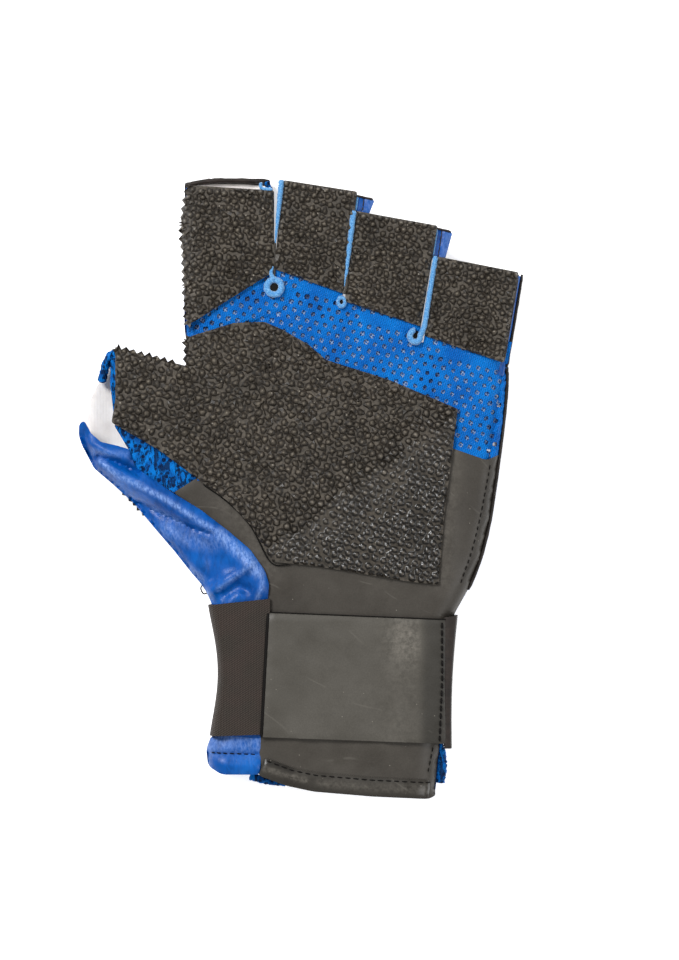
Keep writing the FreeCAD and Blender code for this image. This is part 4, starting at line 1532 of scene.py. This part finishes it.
def build_bindings():
    """Fuzzy tape down the slits between the fingers, and a sewn loop where each slit ends."""
    for name, (wide, reach, thin) in TAPES.items():
        stall = STALLS[name]
        strip = stall.local(corners(name + "_binding"))
        head = strip[strip[:, 1] > strip[:, 1].max() - 1.0].mean(0)
        foot = strip[strip[:, 1] < strip[:, 1].min() + 1.0].mean(0)
        foot = head + (foot - head) * reach
        plan = stall.world(line_points([head, foot], 26) - [EASE[name][0], 0.0])
        size = wide * (1 + (thin - 1) * np.linspace(0, 1, len(plan)) ** 2)
        centre, radius, squeeze = WEB_LOOPS[name]
        if name == "little":      # its tape itself turns back in a hook
            turn = np.linspace(0.1, -5.0, 22)
            hook = centre + radius * np.stack([squeeze * np.cos(turn), np.sin(turn)], axis=1)
            plan = np.vstack([plan[:-2], hook])
            size = np.concatenate([size[:-2], np.ones(len(hook))])
        path = curve_points(lifted(plan, TRIM_LEVEL)[::2], 56)
        size = np.interp(np.linspace(0, 1, 56), np.linspace(0, 1, len(size)), size)
        tape = piped(name + "_slit_tape", path, size, BINDING, flat=1.0, fuzz=0.13)
        bends_finger(tape, stall, name + "_binding")

        if name != "little":
            wire = 0.43 * radius if name == "middle" else 0.75
            ring = rope_ring(name + "_web_loop", np.append(centre, PALM + 0.75), radius, wire, squeeze)
            on_hand(ring, *(["web_loops"] if name == "middle" else []))
        # a black disc in each loop's opening, as a painted shadow in the hole
        angles = full_turn(16)
        hole = centre + np.stack([np.cos(angles) * squeeze, np.sin(angles)], axis=1) * radius
        dark = panel(name + "_web_hole_shade", hole, lambda p: np.full(len(p), PALM + 0.55), 0.3, THREAD,
                     step=0.8)
        on_hand(dark)


def build_trims():
    """Small bits that show beside the panels: a tape's tail, bunched mesh, cut edges, a loose thread."""
    top = TRIM_LEVEL
    trims = (     # on the hand: a path, its radius at both ends, and its material
        ("tape_tail", [(-9.9, 73.8, top), (-10.4, 71.4, top), (-9.5, 69.2, top)], (0.4, 0.95), BINDING),
        ("ring_slit_end", [(14.8, 71.0, top), (14.6, 67.0, top), (13.6, 64.6, top)], (0.5, 0.85), HEEL),
        ("cuff_mesh_lower", [(-17.6, -96.0, 8.6), (-12.5, -97.8, 8.6), (-5.5, -98.9, 8.6)], (1.5, 0.8),
         CRUMPLED),
        ("cuff_mesh_side", [(44.2, -83.2, 7.0), (45.6, -87.6, 7.0), (46.2, -93.0, 7.0), (45.4, -98.6, 7.0)],
         (1.9, 2.1), CRUMPLED),
        ("loose_thread", [(-31.6, -31.4, 8.0), (-31.1, -33.3, 8.2), (-31.6, -35.6, 8.0)], (0.5, 0.4),
         THREAD),
        ("loose_curl", [(-31.6, -35.0, 8.2), (-33.1, -35.3, 8.4), (-34.0, -33.6, 8.6), (-33.3, -32.3, 8.6),
                        (-32.3, -33.0, 8.4), (-32.1, -34.4, 8.2)], (0.24, 0.2), THREAD),
        ("palm_cut_edge", [(-33.0, 1.2, 15.2), (-24.9, -4.7, 15.4), (-17.1, -12.9, 15.4),
                           (-10.6, -24.6, 15.4), (-4.0, -25.6, 15.4)], (0.22, 0.2), THREAD),
    )
    for name, path, (first, last), material in trims:
        count = 12 * len(path)
        on_hand(piped(name, curve_points(path, count), np.linspace(first, last, count), material,
                      sides=8, fuzz=0.12 if first > 0.3 else 0.0))
    index, little = STALLS["index"], STALLS["little"]
    right, tip, reach = index.half, index.length, index.reach
    outer = little.half
    bits = (      # on a finger: a path in its frame, its level and radius, and its material
        (index, "index_frayed_tape", [(right - 3.6, tip + 1.4), (right - 3.2, tip - 0.5),
                                      (right + 0.3, tip - 0.9)], PALM + 0.6, 0.6, BINDING),
        (index, "index_frayed_mesh", [(right - 1.8, reach - 1.2), (right - 1.0, tip),
                                      (right - 0.4, tip - 0.6)], 9.0, 1.0, CRUMPLED),
        (index, "index_back_rim", [(-right + 0.4, reach - 2.2), (-right * 0.5, reach - 0.9),
                                   (0.0, reach - 0.6), (right - 0.8, reach - 0.8)], 6.0, 0.85, BROWN),
        (index, "index_slit_edge", [(right + 1.0, 3.2), (right + 1.15, 9.0), (right + 1.2, 15.0)],
         PALM + 0.4, 0.34, HEEL),
        (little, "little_back_edge", [(outer + 0.1, -1.0), (outer + 0.1, little.length - 0.5)],
         10.5, 0.6, BROWN),
        (little, "little_cut_edge", [(outer - 1.05, 0.6), (outer - 1.05, little.length - 2.0)],
         PALM + 0.5, 0.15, HEEL),
    )
    for stall, name, path, level, radius, material in bits:
        plan = stall.world(curve_points(path, 20))
        bends_finger(piped(name, lifted(plan, level), radius, material, sides=8, fuzz=0.14), stall)


def on_surface(path, height, lift):
    """A plan path laid on a height function."""
    path = line_points(np.asarray(path, float), 60)
    return np.column_stack([path, height(path) + lift])


def build_stitches():
    """Bold stitches on the strap, and rows along the hem, the side, the cuff and the leather end."""
    low, high = span("strap_stitching")
    x = (low[0] + high[0]) / 2 - 0.4
    top = span("strap_panel")[1][2]
    path = np.array([[x + 1.2, high[1] - 1.4, top], [x + 1.3, (low[1] + high[1]) / 2, top],
                     [x + 0.4, low[1], top]])
    rows = stitched("strap_stitches", [line_points(path, 30)], 2.0, 2.5, 0.75)
    on_hand(rows, "strap_stitching")
    hem = corners("cuff_hem")
    low, high = span("hem_stitching")
    order = np.argsort(hem[:, 0])
    upper = np.array([p for p in hem[order] if p[1] > np.interp(p[0], [-14, 44], [-93.0, -99.5])])
    path = upper - np.array([0.0, 0.9])
    rows = stitched("hem_stitches", [on_surface(path, palm_height, 1.1)], 1.9, 2.7, 0.45)
    on_hand(rows, "hem_stitching")
    side = [(62.6, 8.0), (59.6, -8.0), (56.4, -21.0), (52.6, -32.0)]
    cuff = [(43.6, -86.0), (41.7, -95.4)]
    tab = [(-30.6, -88.1), (-15.2, -88.7)]
    runs = [on_surface(curve_points(side, 40), palm_height, 0.0), on_surface(cuff, palm_height, 0.0),
            on_surface(tab, leather_height, -0.9)]
    rows = stitched("seam_stitches", runs, 1.5, 2.3, 0.38)
    on_hand(rows, "seam_stitching")


def build_stage_and_light():
    """A white floor, a large soft light from upper left, fill from the right, and the camera."""
    mesh = bpy.data.meshes.new("floor")
    size = 3.0
    square = ((-size, -size, 0), (size, -size, 0), (size, size, 0), (-size, size, 0))
    mesh.from_pydata(square, [], [(0, 1, 2, 3)])
    floor = bpy.data.objects.new("floor", mesh)
    bpy.context.scene.collection.objects.link(floor)
    white = bpy.data.materials.new("floor_paper")
    white.use_nodes = True
    shader = white.node_tree.nodes["Principled BSDF"]
    shader.inputs["Base Color"].default_value = (0.93, 0.93, 0.93, 1)
    shader.inputs["Roughness"].default_value = 0.9
    shader.inputs["Emission Color"].default_value = (1, 1, 1, 1)
    shader.inputs["Emission Strength"].default_value = 0.55
    mesh.materials.append(white)
    floor.location.z = -0.0004

    def lamp(name, place, width, power):
        data = bpy.data.lights.new(name, "AREA")
        data.shape = "DISK"
        data.size = width
        data.energy = power
        thing = bpy.data.objects.new(name, data)
        thing.location = place
        thing.rotation_euler = (-Vector(place)).to_track_quat("-Z", "Y").to_euler()
        bpy.context.scene.collection.objects.link(thing)
    lamp("key", (-0.75, 0.75, 1.15), 0.55, 26.0)
    lamp("fill", (0.9, -0.3, 1.0), 0.9, 8.0)
    world = bpy.data.worlds.new("studio")
    world.use_nodes = True
    world.node_tree.nodes["Background"].inputs["Color"].default_value = (1, 1, 1, 1)
    world.node_tree.nodes["Background"].inputs["Strength"].default_value = 0.42
    bpy.context.scene.world = world
    bpy.context.scene.view_settings.view_transform = "Standard"

    camera = bpy.data.cameras.new("camera")
    camera.lens = 168.75
    camera.sensor_width = 36.0
    camera.clip_start, camera.clip_end = 0.1, 10.0
    thing = bpy.data.objects.new("camera", camera)
    thing.location = (0.01233, 0.00267, 1.512)
    bpy.context.scene.collection.objects.link(thing)
    bpy.context.scene.camera = thing


build_grips()
build_back_grips()
build_tubes()
build_flaps()
build_mesh()
build_heel()
build_leather()
build_linings()
build_back()
build_seams()
build_strap()
build_bindings()
build_trims()
build_stitches()
build_stage_and_light()
